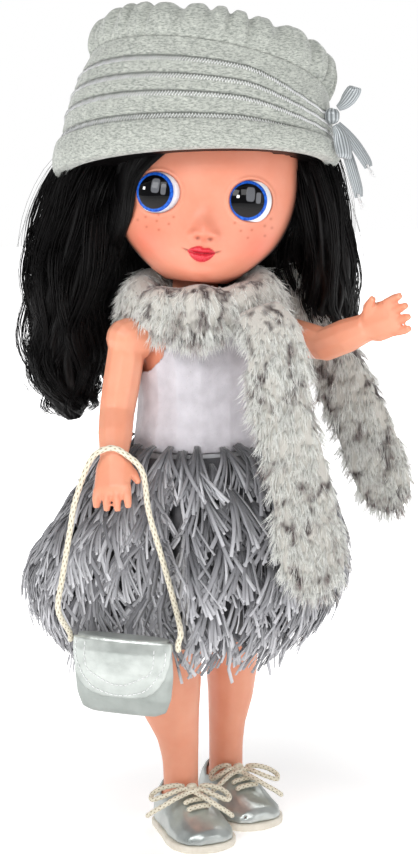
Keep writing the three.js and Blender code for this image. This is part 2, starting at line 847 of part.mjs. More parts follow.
function wristPoint(side) {
  const out = side > 0 ? LEFT_WRIST_OUT : WRIST_OUT;
  return v3(side * (SHOULDER_OUT + out), -WRIST_FORWARD, -WRIST_DROP);
}

function elbowPoint(side) {
  return v3(side * (SHOULDER_OUT + ELBOW_OUT), -4, -UPPER_ARM);
}

function handAxes(side) {
  const along = wristPoint(side).sub(elbowPoint(side)).normalize();
  const roll = side < 0 ? rad(RIGHT_HAND_ROLL_DEG) : 0;
  const thumbward = v3(-side * Math.sin(roll), -Math.cos(roll), 0);
  thumbward.addScaledVector(along, -thumbward.dot(along)).normalize();
  const palmward = along.clone().cross(thumbward).multiplyScalar(side);
  return { along, thumbward, palmward };
}

function armForm(side, grow = 0) {
  const out = (x) => side * x;
  const cap = bar(v3(out(GAP), 0, 0), v3(out(SHOULDER_OUT), 0, 0), SHOULDER_R + grow, 12);
  const dome = ball(v3(out(SHOULDER_OUT), 0, 0), SHOULDER_R + grow, 12, 6);
  const stations = [
    [v3(out(SHOULDER_OUT), 0, 2), ARM_R - 1, ARM_R - 1],
    [v3(out(SHOULDER_OUT + 1), -0.4, -9), ARM_R, ARM_R],
    [v3(out(SHOULDER_OUT + 4), -2, -21), ARM_R - 0.2, ARM_R],
    [elbowPoint(side), ARM_R - 0.7, ARM_R - 0.4],
    [elbowPoint(side).lerp(wristPoint(side), 0.5), ARM_R - 0.7, ARM_R - 0.6],
    [wristPoint(side), WRIST_R, WRIST_R - 0.4],
  ];
  const limbs = limb(stations, v3(0, 1, 0), { sides: 10, grow });
  const { along, thumbward, palmward } = handAxes(side);
  const from = wristPoint(side);
  const spot = (a, t, p) =>
    from.clone().addScaledVector(along, a).addScaledVector(thumbward, t).addScaledVector(palmward, p);
  const palm = limb(
    [
      [spot(-1.5, 0, 0), WRIST_R - 0.2, WRIST_R - 0.8],
      [spot(4, 0.5, 0.4), PALM_WIDTH / 2, PALM_THICK / 2 + 0.8],
      [spot(PALM_LENGTH, 0, 0.8), PALM_WIDTH / 2 - 0.2, PALM_THICK / 2 - 0.6],
      [spot(PALM_LENGTH + 2.4, -0.2, 1.2), PALM_WIDTH / 2 - 1.6, PALM_THICK / 2 - 1.8],
    ],
    thumbward,
    { sides: 8, grow },
  );
  const fingers = [0, 1, 2, 3].map((n) => {
    const t = PALM_WIDTH / 2 - 2 - n * ((PALM_WIDTH - 4) / 3);
    const long = FINGER_LENGTH - [1, 0, 0.8, 3][n];
    const base = PALM_LENGTH - 1;
    return limb(
      [
        [spot(base, t, 0.8), FINGER_R, FINGER_R],
        [spot(base + 0.55 * long, t * 1.06, 1.6), FINGER_R, FINGER_R],
        [spot(base + long, t * 1.08, 3.2), FINGER_R * 0.75, FINGER_R * 0.75],
      ],
      thumbward,
      { sides: 6, grow },
    );
  });
  const thumb = limb(
    [
      [spot(2.5, 4, 1.5), 3, 3],
      [spot(7, 8.6, 3.2), 2.4, 2.4],
      [spot(11.5, 11, 4.2), 1.6, 1.6],
    ],
    palmward,
    { sides: 6, grow },
  );
  return joined(cap, dome, limbs, palm, thumb, ...fingers);
}

function arm(side) {
  const out = (x) => side * x;
  const inside = VINYL + GAP + 0.4;
  const trimmed = cut(armForm(side), beyond(v3(out(GAP), 0, 0), v3(-side, 0, 0)));
  return joined(
    trimmed,
    bar(v3(out(-inside - FLANGE_T), 0, 0), v3(out(1.5), 0, 0), KNOB_R),
    bar(v3(out(-inside - FLANGE_T), 0, 0), v3(out(-inside), 0, 0), FLANGE_R),
  );
}

// Legs, in a frame at the hip point
function legForm(side, back) {
  const at = (x, y, z) => v3(side * x, y, z).sub(hipPoint(side));
  const low = 30;
  const down = (z) => Math.min((HIP_Z - z) / (HIP_Z - low), 1);
  const y = (z) => back * down(z);
  const x = (z) => THREE.MathUtils.lerp(LEG_X, ANKLE_X + side * FEET_ACROSS, down(z));
  const stations = [
    [at(LEG_X, 0, HIP_Z + 8), THIGH_R - 3, THIGH_R - 2],
    [at(x(132), y(132), 132), THIGH_R, THIGH_R - 1],
    [at(x(114), y(114), 114), THIGH_R - 2.5, THIGH_R - 2.5],
    [at(x(96), y(96), 96), THIGH_R - 4.8, THIGH_R - 4.6],
    [at(x(84) + CALF_OUT / 2, y(84), 84), CALF_R + 0.2, CALF_R + 0.3],
    [at(x(72) + CALF_OUT, y(72), 72), CALF_R - 0.2, CALF_R + 0.3],
    [at(x(58) + CALF_OUT, y(58), 58), CALF_R - 1.6, CALF_R - 1],
    [at(x(44), y(44), 44), ANKLE_R + 0.7, ANKLE_R + 0.9],
    [at(x(32), y(32), 32), ANKLE_R, ANKLE_R + 0.2],
    [at(x(14), y(14), 14), ANKLE_R, ANKLE_R],
  ];
  return limb(stations, v3(1, 0, 0), { sides: 12 });
}

function shoeFrame(side, back) {
  const frame = new THREE.Group();
  frame.position.set(side * ANKLE_X + FEET_ACROSS, back, FLOOR_Z).sub(hipPoint(side));
  frame.rotation.z = rad(side < 0 ? RIGHT_TOE_DEG : LEFT_TOE_DEG);
  frame.updateMatrixWorld(true);
  return frame;
}

// Rows from heel to toe in the shoe's frame: [y, half width, height]
function upperForm(grow = 0) {
  const half = SHOE_WIDTH / 2 - SOLE_RIM;
  const toe = SHOE_HEEL - SHOE_LENGTH;
  const rows = [
    [SHOE_HEEL - 1, 0.36, 0.62],
    [SHOE_HEEL - 4, 0.68, 0.96],
    [SHOE_HEEL - 10, 0.8, 1],
    [0, 0.84, 1],
    [-6, 0.87, 0.97],
    [-13, 0.92, 0.82],
    [0.5 * toe, 0.99, 0.62],
    [0.74 * toe, 0.96, 0.44],
    [0.9 * toe, 0.74, 0.33],
    [toe + 1, 0.4, 0.22],
  ];
  const low = SOLE_T + GAP - grow;
  const last = rows.length - 1;
  const rings = rows.map(([y, wide, tall], i) => {
    const shift = i === 0 ? grow : i === last ? -grow : 0;
    const w = wide * half + grow;
    const top = SOLE_T + tall * (UPPER_HEIGHT - SOLE_T) + grow;
    const h = Math.max(top - low, 1);
    const ring = [];
    const steps = 9;
    for (let k = 0; k <= steps; k++) {
      const t = (k / steps) * Math.PI;
      const c = Math.cos(t);
      const s = Math.sin(t);
      const x = w * Math.sign(c) * Math.abs(c) ** 0.72;
      ring.push(v3(x * (1 - 0.18 * s * s), y + shift, low + h * s ** 0.85));
    }
    return ring;
  });
  return solid(closedLoft(rings));
}

function sole() {
  const half = SHOE_WIDTH / 2;
  const toe = SHOE_HEEL - SHOE_LENGTH;
  const right = [
    [SHOE_HEEL, 0],
    [SHOE_HEEL - 1.2, 0.32 * half],
    [SHOE_HEEL - 6, 0.72 * half],
    [0, 0.82 * half],
    [-12, 0.92 * half],
    [0.52 * toe, half],
    [0.76 * toe, 0.95 * half],
    [0.92 * toe, 0.68 * half],
    [toe, 0.2 * half],
  ];
  const outline = new THREE.Shape();
  const loop = [...right.map(([y, x]) => [x, y]), ...right.slice(1).reverse().map(([y, x]) => [-x, y])];
  outline.moveTo(...loop[0]);
  const curve = new THREE.CatmullRomCurve3(loop.map(([x, y]) => v3(x, y, 0)), true);
  curve.getPoints(40).slice(1, -1).forEach((p) => outline.lineTo(p.x, p.y));
  outline.closePath();
  return solid(new THREE.ExtrudeGeometry(outline, { depth: SOLE_T, bevelEnabled: false }));
}

// The ankle's opening, with the gap over the instep that the tongue shows in
function ankleRoom() {
  return bar(v3(0, 0, SOLE_T + LEATHER + 6), v3(0, 0, UPPER_HEIGHT + 20), ANKLE_R + 1);
}

function upper() {
  return mainBody(cut(upperForm(), upperForm(-LEATHER), ankleRoom()));
}

function foot() {
  return cut(
    upperForm(-LEATHER - GAP),
    box(v3(-30, -60, UPPER_HEIGHT - 5), v3(30, 30, UPPER_HEIGHT + 20)),
  );
}

// Where the lacing lies: a height on the instep at a distance ahead of the ankle.
function instep(y) {
  const toe = SHOE_HEEL - SHOE_LENGTH;
  const rows = [[0, 1], [-6, 0.97], [-13, 0.82], [0.5 * toe, 0.62], [0.74 * toe, 0.44]];
  const i = rows.findIndex(([ahead]) => ahead <= y);
  const [a, b] = [rows[Math.max(i - 1, 0)], rows[Math.max(i, 1)]];
  const tall = THREE.MathUtils.mapLinear(y, a[0], b[0], a[1], b[1]);
  return SOLE_T + tall * (UPPER_HEIGHT - SOLE_T);
}

const LACE_KNOT_Y = -12.5;
const LACE_KNOT_Z = instep(LACE_KNOT_Y) + 3.1;
const LACE_R = LACE_D / 2;

// A lace across the instep between its two eyelets.
function laceRung(y) {
  const reach = 6.2;
  const points = [-1, -0.6, 0, 0.6, 1].map((s) => {
    const lift = instep(y) + LACE_R + 0.7 - 0.9 * Math.abs(s) ** 3;
    return v3(s * reach, y + 0.6 * s, lift);
  });
  return cordTube(points, LACE_D);
}

// The bow, about the middle of its knot
function laceKnot() {
  return solid(new THREE.SphereGeometry(1, 10, 6).scale(2.6, 2.3, 2.3));
}

// The lying loop and tail of one side, drawn in by a share where the other shoe is close.
function laceLoop(side, reach = 1) {
  const path = [
    [3.4, 0.3, 0.5],
    [8, -0.6, 1.3],
    [14, 0.6, -0.5],
    [18.4, -0.3, -3.1],
    [18.2, -3.6, -4.4],
    [13, -5.2, -2.3],
    [8, -4.6, -0.3],
    [3.9, -2.2, 0.2],
  ];
  return cordTube(path.map(([x, y, z]) => v3(side * (3.4 + reach * (x - 3.4)), y, z)), LACE_D);
}

function laceTail(side, reach = 1) {
  const path = [
    [3.1, -4.2, -1.5],
    [7.5, -8, -2.4],
    [12.5, -9.6, -5],
    [17.5, -9, -8.2],
    [21, -7, -11.4],
  ];
  return cordTube(path.map(([x, y, z]) => v3(side * (3.1 + reach * (x - 3.1)), y, z)), LACE_D);
}

function leg(side, back) {
  const frame = shoeFrame(side, back);
  const inShoe = solid(surface(foot()), frame.matrixWorld);
  const inside = VINYL + GAP + 0.4;
  const normal = hipNormal(side);
  const along = (d) => normal.clone().multiplyScalar(d);
  return joined(
    cut(joined(legForm(side, back), inShoe), beyond(along(GAP), along(-1))),
    bar(along(-inside - FLANGE_T), along(1.5), KNOB_R),
    bar(along(-inside - FLANGE_T), along(-inside), FLANGE_R),
  );
}

// Clothes
function top() {
  const outer = cut(
    torsoForm(TOP_EASE + TOP_CLOTH),
    box(v3(-100, -100, 0), v3(100, 100, TOP_HEM_Z)),
  );
  const neckHole = bar(v3(0, NECK_Y, NECK_Z - 14), v3(0, NECK_Y, NECK_Z + 20), NECK_R + 5);
  const armholes = [-1, 1].map((side) =>
    bar(v3(side * (PAD_X - 9), 0, SHOULDER_Z - 1), v3(side * (PAD_X + 20), 0, SHOULDER_Z - 1), ARMHOLE_R),
  );
  const opening = box(v3(-0.2, 5, TOP_HEM_Z - 1), v3(0.2, 60, NECK_Z + 20));
  return mainBody(cut(outer, torsoForm(TOP_EASE), neckHole, opening, ...armholes));
}

// The closing strip behind the centre back opening, sewn inside the top.
function topClosure() {
  const strip = cut(torsoForm(TOP_EASE - GAP), torsoForm(TOP_EASE - GAP - 1));
  return mainBody(
    strip.intersect(box(v3(-CLOSURE_WIDTH / 2, 5, TOP_HEM_Z + 10), v3(CLOSURE_WIDTH / 2, 60, NECK_Z - 12))),
  );
}

function waistband() {
  return cut(torsoForm(GAP + BAND_T), torsoForm(GAP)).intersect(
    box(v3(-60, -60, WAIST_Z - 9), v3(60, 60, TOP_HEM_Z - GAP)),
  );
}

function skirt() {
  const half = SKIRT_WIDTH / 2;
  const deep = SKIRT_DEPTH / 2;
  const fall = TOP_HEM_Z - GAP - SKIRT_HEM_Z;
  const z = (share) => SKIRT_HEM_Z + share * fall;
  const y = (share) => SKIRT_BACK * (1 - share);
  const outerRows = [
    [0, 0.68],
    [0.08, 0.82],
    [0.2, 0.94],
    [0.36, 1],
    [0.54, 0.95],
    [0.72, 0.86],
    [0.88, 0.73],
    [1, 0.6],
  ];
  const x = (share) => -SKIRT_SIDE * (1 - share);
  const outer = outerRows.map(([s, wide]) => {
    const slim = 1 - 0.16 * s; // the waist is flatter than the hem
    return oval(z(s), wide * half, wide * slim * (deep - 9), wide * slim * deep, x(s), y(s), 24);
  });
  const waist = PAD_X + BAND_T + 1.8;
  const rows = [
    [-0.1, 0.68 * half - SHAG, 0.7 * deep - SHAG],
    [0.25, 0.76 * half - SHAG, 0.76 * deep - SHAG],
    [0.6, 0.56 * half, 0.46 * deep],
    [0.8, waist + 2.5, CHEST_DEPTH / 2 + BAND_T + 5],
    [1.1, waist + 1.5, CHEST_DEPTH / 2 + BAND_T + 4],
  ];
  const inner = rows.map(([s, a, b]) => oval(z(s), a, b, b, 0, y(Math.min(Math.max(s, 0.3), 1)), 20));
  return cut(solid(closedLoft(outer)), solid(closedLoft(inner)));
}

// Bag: a frame with its origin at the middle of the mouth, its face towards -Y
const rightWrist = wristPoint(-1).applyMatrix4(armFrame(-1).matrixWorld);
const CORD_TOP = rightWrist
  .clone()
  .lerp(elbowPoint(-1).applyMatrix4(armFrame(-1).matrixWorld), 0.33)
  .addScaledVector(TOWARDS, WRIST_R + 3 + GAP + CORD_D / 2)
  .addScaledVector(ACROSS, -1.5);
const BAG_MOUTH_Z = 107;
const CORD_CLEAR = 0.7;
const CORD_BOW = 1; // further out above the mouth, so that the flap passes
const BAG_ASIDE = 5.5; // and to the doll's left of the cord's top
const BAG_FORWARD = 5; // the bag hangs this far out over the skirt

function bagFrame() {
  const frame = new THREE.Group();
  const hang = CORD_TOP.clone().addScaledVector(ACROSS, BAG_ASIDE).addScaledVector(TOWARDS, BAG_FORWARD);
  frame.position.set(hang.x, hang.y, BAG_MOUTH_Z);
  frame.rotation.z = -turn + rad(BAG_TURN_DEG);
  frame.updateMatrixWorld(true);
  return frame;
}

function pouchForm(grow = 0, lift = 0) {
  const rows = [
    [-1, 0.66, 0.3],
    [-0.94, 0.86, 0.55],
    [-0.75, 0.96, 0.85],
    [-0.45, 1, 1],
    [-0.15, 0.98, 0.86],
    [0, 0.96, 0.7],
  ];
  const last = rows.length - 1;
  const rings = rows.map(([h, wide, deep], i) => {
    const z = h * BAG_HEIGHT + (i === 0 ? -grow : i === last ? lift : 0);
    const d = (deep * BAG_DEPTH) / 2 + grow;
    return oval(z, (wide * BAG_WIDTH) / 2 + grow, d, d, 0, 0, 20, 2.6);
  });
  return solid(closedLoft(rings));
}

function pouch() {
  return cut(pouchForm(), pouchForm(-BAG_SKIN, 2));
}

// The flap: a sheet over the mouth and down the face, its lower corners round.
function flap() {
  const shell = cut(
    pouchForm(GAP + FLAP_T),
    pouchForm(GAP, 3),
    box(v3(-60, 0.5, -60), v3(60, 60, 10)),
    box(v3(-60, -60, -0.01), v3(60, 60, 10)),
  );
  const half = 0.48 * BAG_WIDTH;
  const shape = new THREE.Shape();
  shape.moveTo(-half - 1, 4);
  shape.lineTo(-half - 1, -2);
  shape.bezierCurveTo(-half, -FLAP_DROP, -half * 0.55, -FLAP_DROP, 0, -FLAP_DROP);
  shape.bezierCurveTo(half * 0.55, -FLAP_DROP, half, -FLAP_DROP, half + 1, -2);
  shape.lineTo(half + 1, 4);
  const stencil = new THREE.ExtrudeGeometry(shape, { depth: 40, bevelEnabled: false, curveSegments: 8 });
  stencil.rotateX(Math.PI / 2);
  const face = shell.intersect(solid(stencil));
  const deep = (0.7 * BAG_DEPTH) / 2;
  const lid = [
    oval(GAP, half - 0.4, deep + FLAP_T, deep - 0.6, 0, 0, 20, 2.6),
    oval(GAP + FLAP_T, half - 1, deep + 0.4, deep - 1, 0, 0, 20, 2.6),
  ];
  const rim = [
    oval(-1.2, half + FLAP_T, deep + GAP + FLAP_T, deep, 0, 0, 20, 2.6),
    oval(GAP + 0.1, half + FLAP_T - 0.3, deep + GAP + FLAP_T - 0.3, deep - 0.6, 0, 0, 20, 2.6),
  ];
  const front = cut(
    solid(closedLoft(rim)),
    pouchForm(GAP, GAP),
    box(v3(-60, -deep * 0.4, -60), v3(60, 60, 60)),
  );
  return mainBody(joined(face, front, solid(closedLoft(lid))));
}

// The cord's points from the left end of the mouth, over the wrist, to the right end
function bagCord(diameter = CORD_D) {
  const left = BAG_MOUTH_Z;
  const reach = BAG_WIDTH / 2 + CORD_D / 2 + GAP + CORD_CLEAR;
  const frame = bagFrame();
  const near = (x, z) => v3(x, 0, z).applyMatrix4(frame.matrixWorld);
  const over = (across, towards, z) =>
    CORD_TOP.clone().addScaledVector(ACROSS, across).addScaledVector(TOWARDS, towards).setZ(z);
  return cordTube(
    [
      near(-reach, -4),
      near(-reach, 0),
      over(-22.4, 10, left + 14),
      over(-20.6, 7.4, left + 28),
      over(-17.6, 5, left + 46),
      over(-14.6, 4.2, left + 62),
      over(-8, 0.8, CORD_TOP.z - 4.6),
      over(0, 0, CORD_TOP.z),
      over(6.8, 0.8, CORD_TOP.z - 2.6),
      over(14, 2.4, CORD_TOP.z - 10),
      over(16.6, 2, left + 56),
      over(21.4, 1.2, left + 38),
      over(26.6, -0.4, left + 18),
      near(reach + CORD_BOW, 6),
      near(reach, 0),
      near(reach, -4),
    ],
    diameter,
  );
}

// Where the cord and the bag press the yarn flat: a wide shallow hollow in the skirt's front.
function cordRoom() {
  const [left, right] = [-40, 34];
  const deep = 6;
  const at = (across, towards, z) =>
    CORD_TOP.clone().addScaledVector(ACROSS, across).addScaledVector(TOWARDS, towards).setZ(z);
  const ring = (z) => [
    at(left, 80, z),
    at(left, 8, z),
    at(left + 10, -deep, z),
    at(right - 8, -deep - 3, z),
    at(right, 16, z),
    at(right, 80, z),
  ];
  return solid(closedLoft([ring(SKIRT_HEM_Z - 30), ring(WAIST_Z + 20)]));
}

// Assembly
const doll = new THREE.Group();

const torso = new THREE.Group();
torso.add(named("torso_shell", torsoShell(), SKIN()));
const plugHolder = new THREE.Group();
plugHolder.position.copy(neckFrame.position);
plugHolder.rotation.copy(neckFrame.rotation);
plugHolder.add(named("neck_plug", neckPlug(), material(0xe8e4de, 0.5)));
torso.add(plugHolder);
torso.add(named("top", top(), material(0xdad8dc, 0.6)));
torso.add(named("top_closure", topClosure(), material(0xeeeeee, 0.9)));
torso.add(named("skirt_waistband", waistband(), YARN()));
doll.add(torso);

const head = new THREE.Group();
head.position.copy(neckFrame.position);
head.rotation.copy(neckFrame.rotation);
const face = new THREE.Group();
face.rotation.z = headFrame.rotation.z;
face.add(named("head_shell", headShell(), SKIN()));
for (const [word, side] of [["right", -1], ["left", 1]]) {
  face.add(named(`${word}_eyeball`, eyeball(side), material(0xf4f4f4, 0.1)));
  face.add(named(`${word}_iris`, iris(side), material(0x0a0a12, 0.05)));
}
head.add(face);
doll.add(head);

const hat = new THREE.Group();
hat.add(named("cap_band", capBand(), CAP()));
hat.add(named("cap_brim", capBrim(), CAP()));
hat.add(named("cap_crown", capCrown(), CAP()));
hat.add(named("cap_ruffle", capRuffle(), CAP()));
hat.add(named("bow_knot", cut(bowKnot(), capRoomForBow()), SILVER()));
let bowSoFar = bowKnot(GAP + 0.1);
for (const [name, tip, wide, thick] of BOW_STRIPS) {
  const strip = mainBody(cut(bowStrip(tip, wide, thick), bowSoFar, capRoomForBow()));
  hat.add(named(name, strip, SILVER()));
  const past = tip.clone().lerp(BOW, -0.05);
  bowSoFar = joined(bowSoFar, bowStrip(past, wide + 2 * GAP, thick + 2 * GAP, 2));
}
doll.add(hat);

// What the hair must leave free: the head, the cap, the body in its top, and the arms.
const bodyRoom = joined(
  torsoForm(TOP_EASE + TOP_CLOTH + GAP),
  armRoom(-1),
  armRoom(1),
  shoulderRoom(-1),
  shoulderRoom(1),
);
const neckRoom = bar(v3(0, NECK_Y, NECK_Z - 10), v3(0, NECK_Y, NECK_Z + 30), NECK_R + 2);
const collar = mainBody(cut(collarForm(), headRoom(), bodyRoom, neckRoom));
const collarRoom = collarForm(GAP);
const fill = capFill();
const fillRoom = joined(headRoom(), capRoom());
const hair = new THREE.Group();
hair.add(named("hair_crown", fill, HAIR()));
hair.add(
  named("hair_right", mainBody(cut(rightHair(), fillRoom, bodyRoom, collarRoom)), HAIR()),
  named("hair_left", mainBody(cut(leftHair(), fillRoom, bodyRoom, collarRoom, backEnd(GAP))), HAIR()),
  named(
    "hair_back",
    mainBody(
      cut(backHair(), fillRoom, bodyRoom, collarRoom, rightHair(GAP), leftHair(GAP), backEnd(GAP)),
    ),
    HAIR(),
  ),
);
doll.add(hair);

const scarf = new THREE.Group();
scarf.add(named("scarf_collar", collar, FUR()));
scarf.add(named("scarf_front_end", mainBody(cut(frontEnd(), collarRoom, bodyRoom)), FUR()));
scarf.add(named("scarf_back_end", mainBody(cut(backEnd(), collarRoom, bodyRoom)), FUR()));
doll.add(scarf);

for (const [word, side] of [["right", -1], ["left", 1]]) {
  const holder = new THREE.Group();
  const frame = armFrame(side);
  holder.position.copy(frame.position);
  holder.rotation.copy(frame.rotation);
  holder.add(named(`${word}_arm`, arm(side), SKIN()));
  doll.add(holder);
}

for (const [word, side, back] of [["right", -1, FEET_BACK], ["left", 1, FEET_BACK + LEFT_FOOT_BACK]]) {
  const holder = new THREE.Group();
  holder.position.copy(hipPoint(side));
  holder.add(named(`${word}_leg`, leg(side, back), SKIN()));
  const shoe = new THREE.Group();
  const frame = shoeFrame(side, back);
  shoe.position.copy(frame.position);
  shoe.rotation.copy(frame.rotation);
  shoe.add(named(`${word}_sole`, sole(), material(0xe9e4d8, 0.6)));
  shoe.add(named(`${word}_upper`, upper(), SILVER()));
  const bow = new THREE.Group();
  bow.position.set(0, LACE_KNOT_Y, LACE_KNOT_Z);
  bow.rotation.z = -turn - frame.rotation.z;
  bow.add(named(`${word}_lace_knot`, laceKnot(), BRAID()));
  shoe.add(named(`${word}_lace_rung_1`, laceRung(LACE_KNOT_Y - 4.6), BRAID()));
  shoe.add(named(`${word}_lace_rung_2`, laceRung(LACE_KNOT_Y - 8.4), BRAID()));
  for (const [place, across] of [["outer", side], ["inner", -side]]) {
    const innerReach = side > 0 ? LEFT_INNER_REACH : RIGHT_INNER_REACH;
    const reach = place === "inner" ? innerReach : 1;
    bow.add(named(`${word}_lace_loop_${place}`, laceLoop(across, reach), BRAID()));
    bow.add(named(`${word}_lace_tail_${place}`, laceTail(across, reach), BRAID()));
  }
  shoe.add(bow);
  holder.add(shoe);
  doll.add(holder);
}

const bagHolder = new THREE.Group();
const hang = bagFrame();
bagHolder.position.copy(hang.position);
bagHolder.rotation.copy(hang.rotation);
bagHolder.add(named("bag_pouch", pouch(), SILVER()));
bagHolder.add(named("bag_flap", flap(), SILVER()));
doll.add(bagHolder);
doll.add(named("bag_cord", bagCord(), BRAID()));

// The yarn gives way to the bag, its cord and the scarf that lie on it.
const bagRoom = solid(surface(pouchForm(GAP + FLAP_T + 0.6, 2)), hang.matrixWorld);
const skirtSolid = mainBody(
  cut(skirt(), bagRoom, cordRoom(), frontEnd(GAP), backEnd(GAP), armRoom(-1)),
);
doll.add(named("skirt", skirtSolid, YARN()));

// The doll stands on the floor over the middle of its box, measured without its free cords.
const bounds = new THREE.Box3();
doll.updateMatrixWorld(true);
doll.traverse((o) => {
  if (o.isMesh && !/cord|lace/.test(o.name)) bounds.expandByObject(o, true);
});
const middle = bounds.getCenter(new THREE.Vector3());
doll.position.set(-middle.x, -middle.y, -bounds.min.z);

export default doll;
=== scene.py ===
"""The looks of a dressed vinyl play doll: skin, glass eyes, long hair, velour cap, plush scarf,
glitter top, skirt of ribbon yarn, silver shoes and a handbag on a braided cord."""

import json
import math

import bmesh
import bpy
import numpy as np
from mathutils import Matrix, Vector, noise
from mathutils.bvhtree import BVHTree

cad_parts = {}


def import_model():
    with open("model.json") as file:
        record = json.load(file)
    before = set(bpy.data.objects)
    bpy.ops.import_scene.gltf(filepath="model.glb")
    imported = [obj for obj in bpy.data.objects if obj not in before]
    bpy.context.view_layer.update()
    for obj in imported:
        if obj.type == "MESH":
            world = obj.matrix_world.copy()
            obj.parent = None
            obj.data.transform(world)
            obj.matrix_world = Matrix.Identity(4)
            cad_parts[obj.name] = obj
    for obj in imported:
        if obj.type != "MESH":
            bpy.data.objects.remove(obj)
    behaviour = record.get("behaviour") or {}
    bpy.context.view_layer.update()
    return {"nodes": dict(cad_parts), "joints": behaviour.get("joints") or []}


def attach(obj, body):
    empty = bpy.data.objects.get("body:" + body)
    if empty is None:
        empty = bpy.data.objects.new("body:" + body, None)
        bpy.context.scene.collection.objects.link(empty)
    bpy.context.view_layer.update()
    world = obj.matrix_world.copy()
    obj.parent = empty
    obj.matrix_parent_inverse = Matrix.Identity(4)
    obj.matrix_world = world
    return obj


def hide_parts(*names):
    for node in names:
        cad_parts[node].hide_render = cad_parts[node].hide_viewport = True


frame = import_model()

# The doll's own frame, in millimetres: it faces -Y and its left is +X
MM = 0.001
NECK = Vector((-2.5, 4, 248))
NECK_JOINT = next(j for j in frame["joints"] if j["name"] == "neck_turn")
SHIFT = Vector(NECK_JOINT["pos_m"]) - NECK * MM
VIEW_TURN = math.radians(28)
ACROSS = Vector((math.cos(VIEW_TURN), -math.sin(VIEW_TURN), 0))  # to the picture's right
TOWARDS = Vector((-math.sin(VIEW_TURN), -math.cos(VIEW_TURN), 0))  # to the camera
UP = Vector((0, 0, 1))
ACROSS_ROW, TOWARDS_ROW, UP_ROW, SHIFT_ROW = (np.array(v) for v in (ACROSS, TOWARDS, UP, SHIFT))
rng = np.random.default_rng(7)


def seen(across, towards, z):
    """A place in the doll's frame, by how it is seen in the photograph."""
    return ACROSS * across + TOWARDS * towards + UP * z


def world(point):
    """A place in the doll's frame, in the world's metres."""
    return Vector(point) * MM + SHIFT


def turned(angle, axis):
    return Matrix.Rotation(math.radians(angle), 4, axis)


def placed(name, data):
    """A new object in the scene."""
    made = bpy.data.objects.new(name, data)
    bpy.context.scene.collection.objects.link(made)
    return made


def stood(name, data, place, aim):
    """A camera or a lamp at a place in the world, looking along aim."""
    made = placed(name, data)
    made.location = place
    made.rotation_euler = aim.to_track_quat("-Z", "Y").to_euler()
    return made


# The head's frame, on the neck's axis
HEAD_LEAN = 7
HEAD_BACK_LEAN = -2
HEAD_TURN = -28
NECK_FRAME = Matrix.Translation(NECK) @ turned(HEAD_BACK_LEAN, "X") @ turned(HEAD_LEAN, "Y")
HEAD_FRAME = NECK_FRAME @ turned(HEAD_TURN, "Z")
HEAD_MIDDLE = 56  # above the neck joint


# Camera
CAMERA_AWAY = 900
CAMERA_ASIDE = 2.68
CAMERA_HEIGHT = 350
CAMERA_DOWN = 10
LENS = 85
SENSOR = 36


def place_camera():
    data = bpy.data.cameras.new("photo_camera")
    data.lens = LENS
    data.sensor_fit = "VERTICAL"
    data.sensor_height = SENSOR
    down = math.radians(CAMERA_DOWN)
    aim = -TOWARDS * math.cos(down) - UP * math.sin(down)
    place = world(seen(CAMERA_ASIDE, CAMERA_AWAY, CAMERA_HEIGHT))
    bpy.context.scene.camera = stood("photo_camera", data, place, aim)


place_camera()


# Shapes
def smooth(rows, per):
    """More rows between the given ones, on a curve through them."""
    rows = np.array(rows, float)
    ends = np.vstack([2 * rows[0] - rows[1], rows, 2 * rows[-1] - rows[-2]])
    out = []
    for i in range(1, len(ends) - 2):
        a, b, c, d = ends[i - 1 : i + 3]
        for t in np.arange(per) / per:
            bend = 2 * b + (c - a) * t + (2 * a - 5 * b + 4 * c - d) * t**2
            out.append(0.5 * (bend + (3 * b - a - 3 * c + d) * t**3))
    out.append(rows[-1])
    return np.array(out)


def full_turn(count):
    """Angles once round, evenly spaced."""
    return np.linspace(0, 2 * math.pi, count, endpoint=False)


def unit(rows):
    """Vectors made one long."""
    return rows / np.maximum(np.linalg.norm(rows, axis=-1, keepdims=True), 1e-6)


def between(places, known, rows):
    """Points read off a line at places between the known ones."""
    return np.stack([np.interp(places, known, rows[:, k]) for k in range(3)], 1)


def carried(points, local):
    """Points of a local frame, in the doll's frame."""
    matrix = np.array(local)
    return points @ matrix[:3, :3].T + matrix[:3, 3]


def mesh_piece(name, points, faces, material, local=None):
    """A closed mesh from points in the doll's frame, or in the one given."""
    points = np.array(points, float)
    if local is not None:
        points = carried(points, local)
    mesh = bpy.data.meshes.new(name)
    mesh.from_pydata((points * MM + SHIFT_ROW).tolist(), [], [list(f) for f in faces])
    mesh.materials.append(material)
    mesh.polygons.foreach_set("use_smooth", [True] * len(mesh.polygons))
    return placed(name, mesh)


def keep_values(piece, name, values, kind="FLOAT"):
    """Keeps numbers or vectors at a piece's points, for a finish or a node tree to read."""
    layer = piece.data.attributes.new(name, kind, "POINT")
    layer.data.foreach_set("value" if kind == "FLOAT" else "vector", np.ravel(values))


def reshaped(piece, change):
    """Moves a piece's points: change takes and gives their places in the doll's frame."""
    flat = np.zeros(len(piece.data.vertices) * 3)
    piece.data.vertices.foreach_get("co", flat)
    points = change((flat.reshape(-1, 3) - SHIFT_ROW) / MM)
    piece.data.vertices.foreach_set("co", (points * MM + SHIFT_ROW).ravel())
    piece.data.update()
    return piece


def outward(piece, merge=0.0):
    """Merges doubles and points the faces out."""
    shell = bmesh.new()
    shell.from_mesh(piece.data)
    if merge:
        bmesh.ops.remove_doubles(shell, verts=shell.verts, dist=merge * MM)
    bmesh.ops.recalc_face_normals(shell, faces=shell.faces)
    shell.to_mesh(piece.data)
    shell.free()
    return piece


def walls(rings, around):
    """Faces between rings of points that are numbered one ring after another."""
    faces = []
    for first in range(0, (rings - 1) * around, around):
        for k in range(around):
            n = (k + 1) % around
            faces.append([first + k, first + n, first + around + n, first + around + k])
    return faces


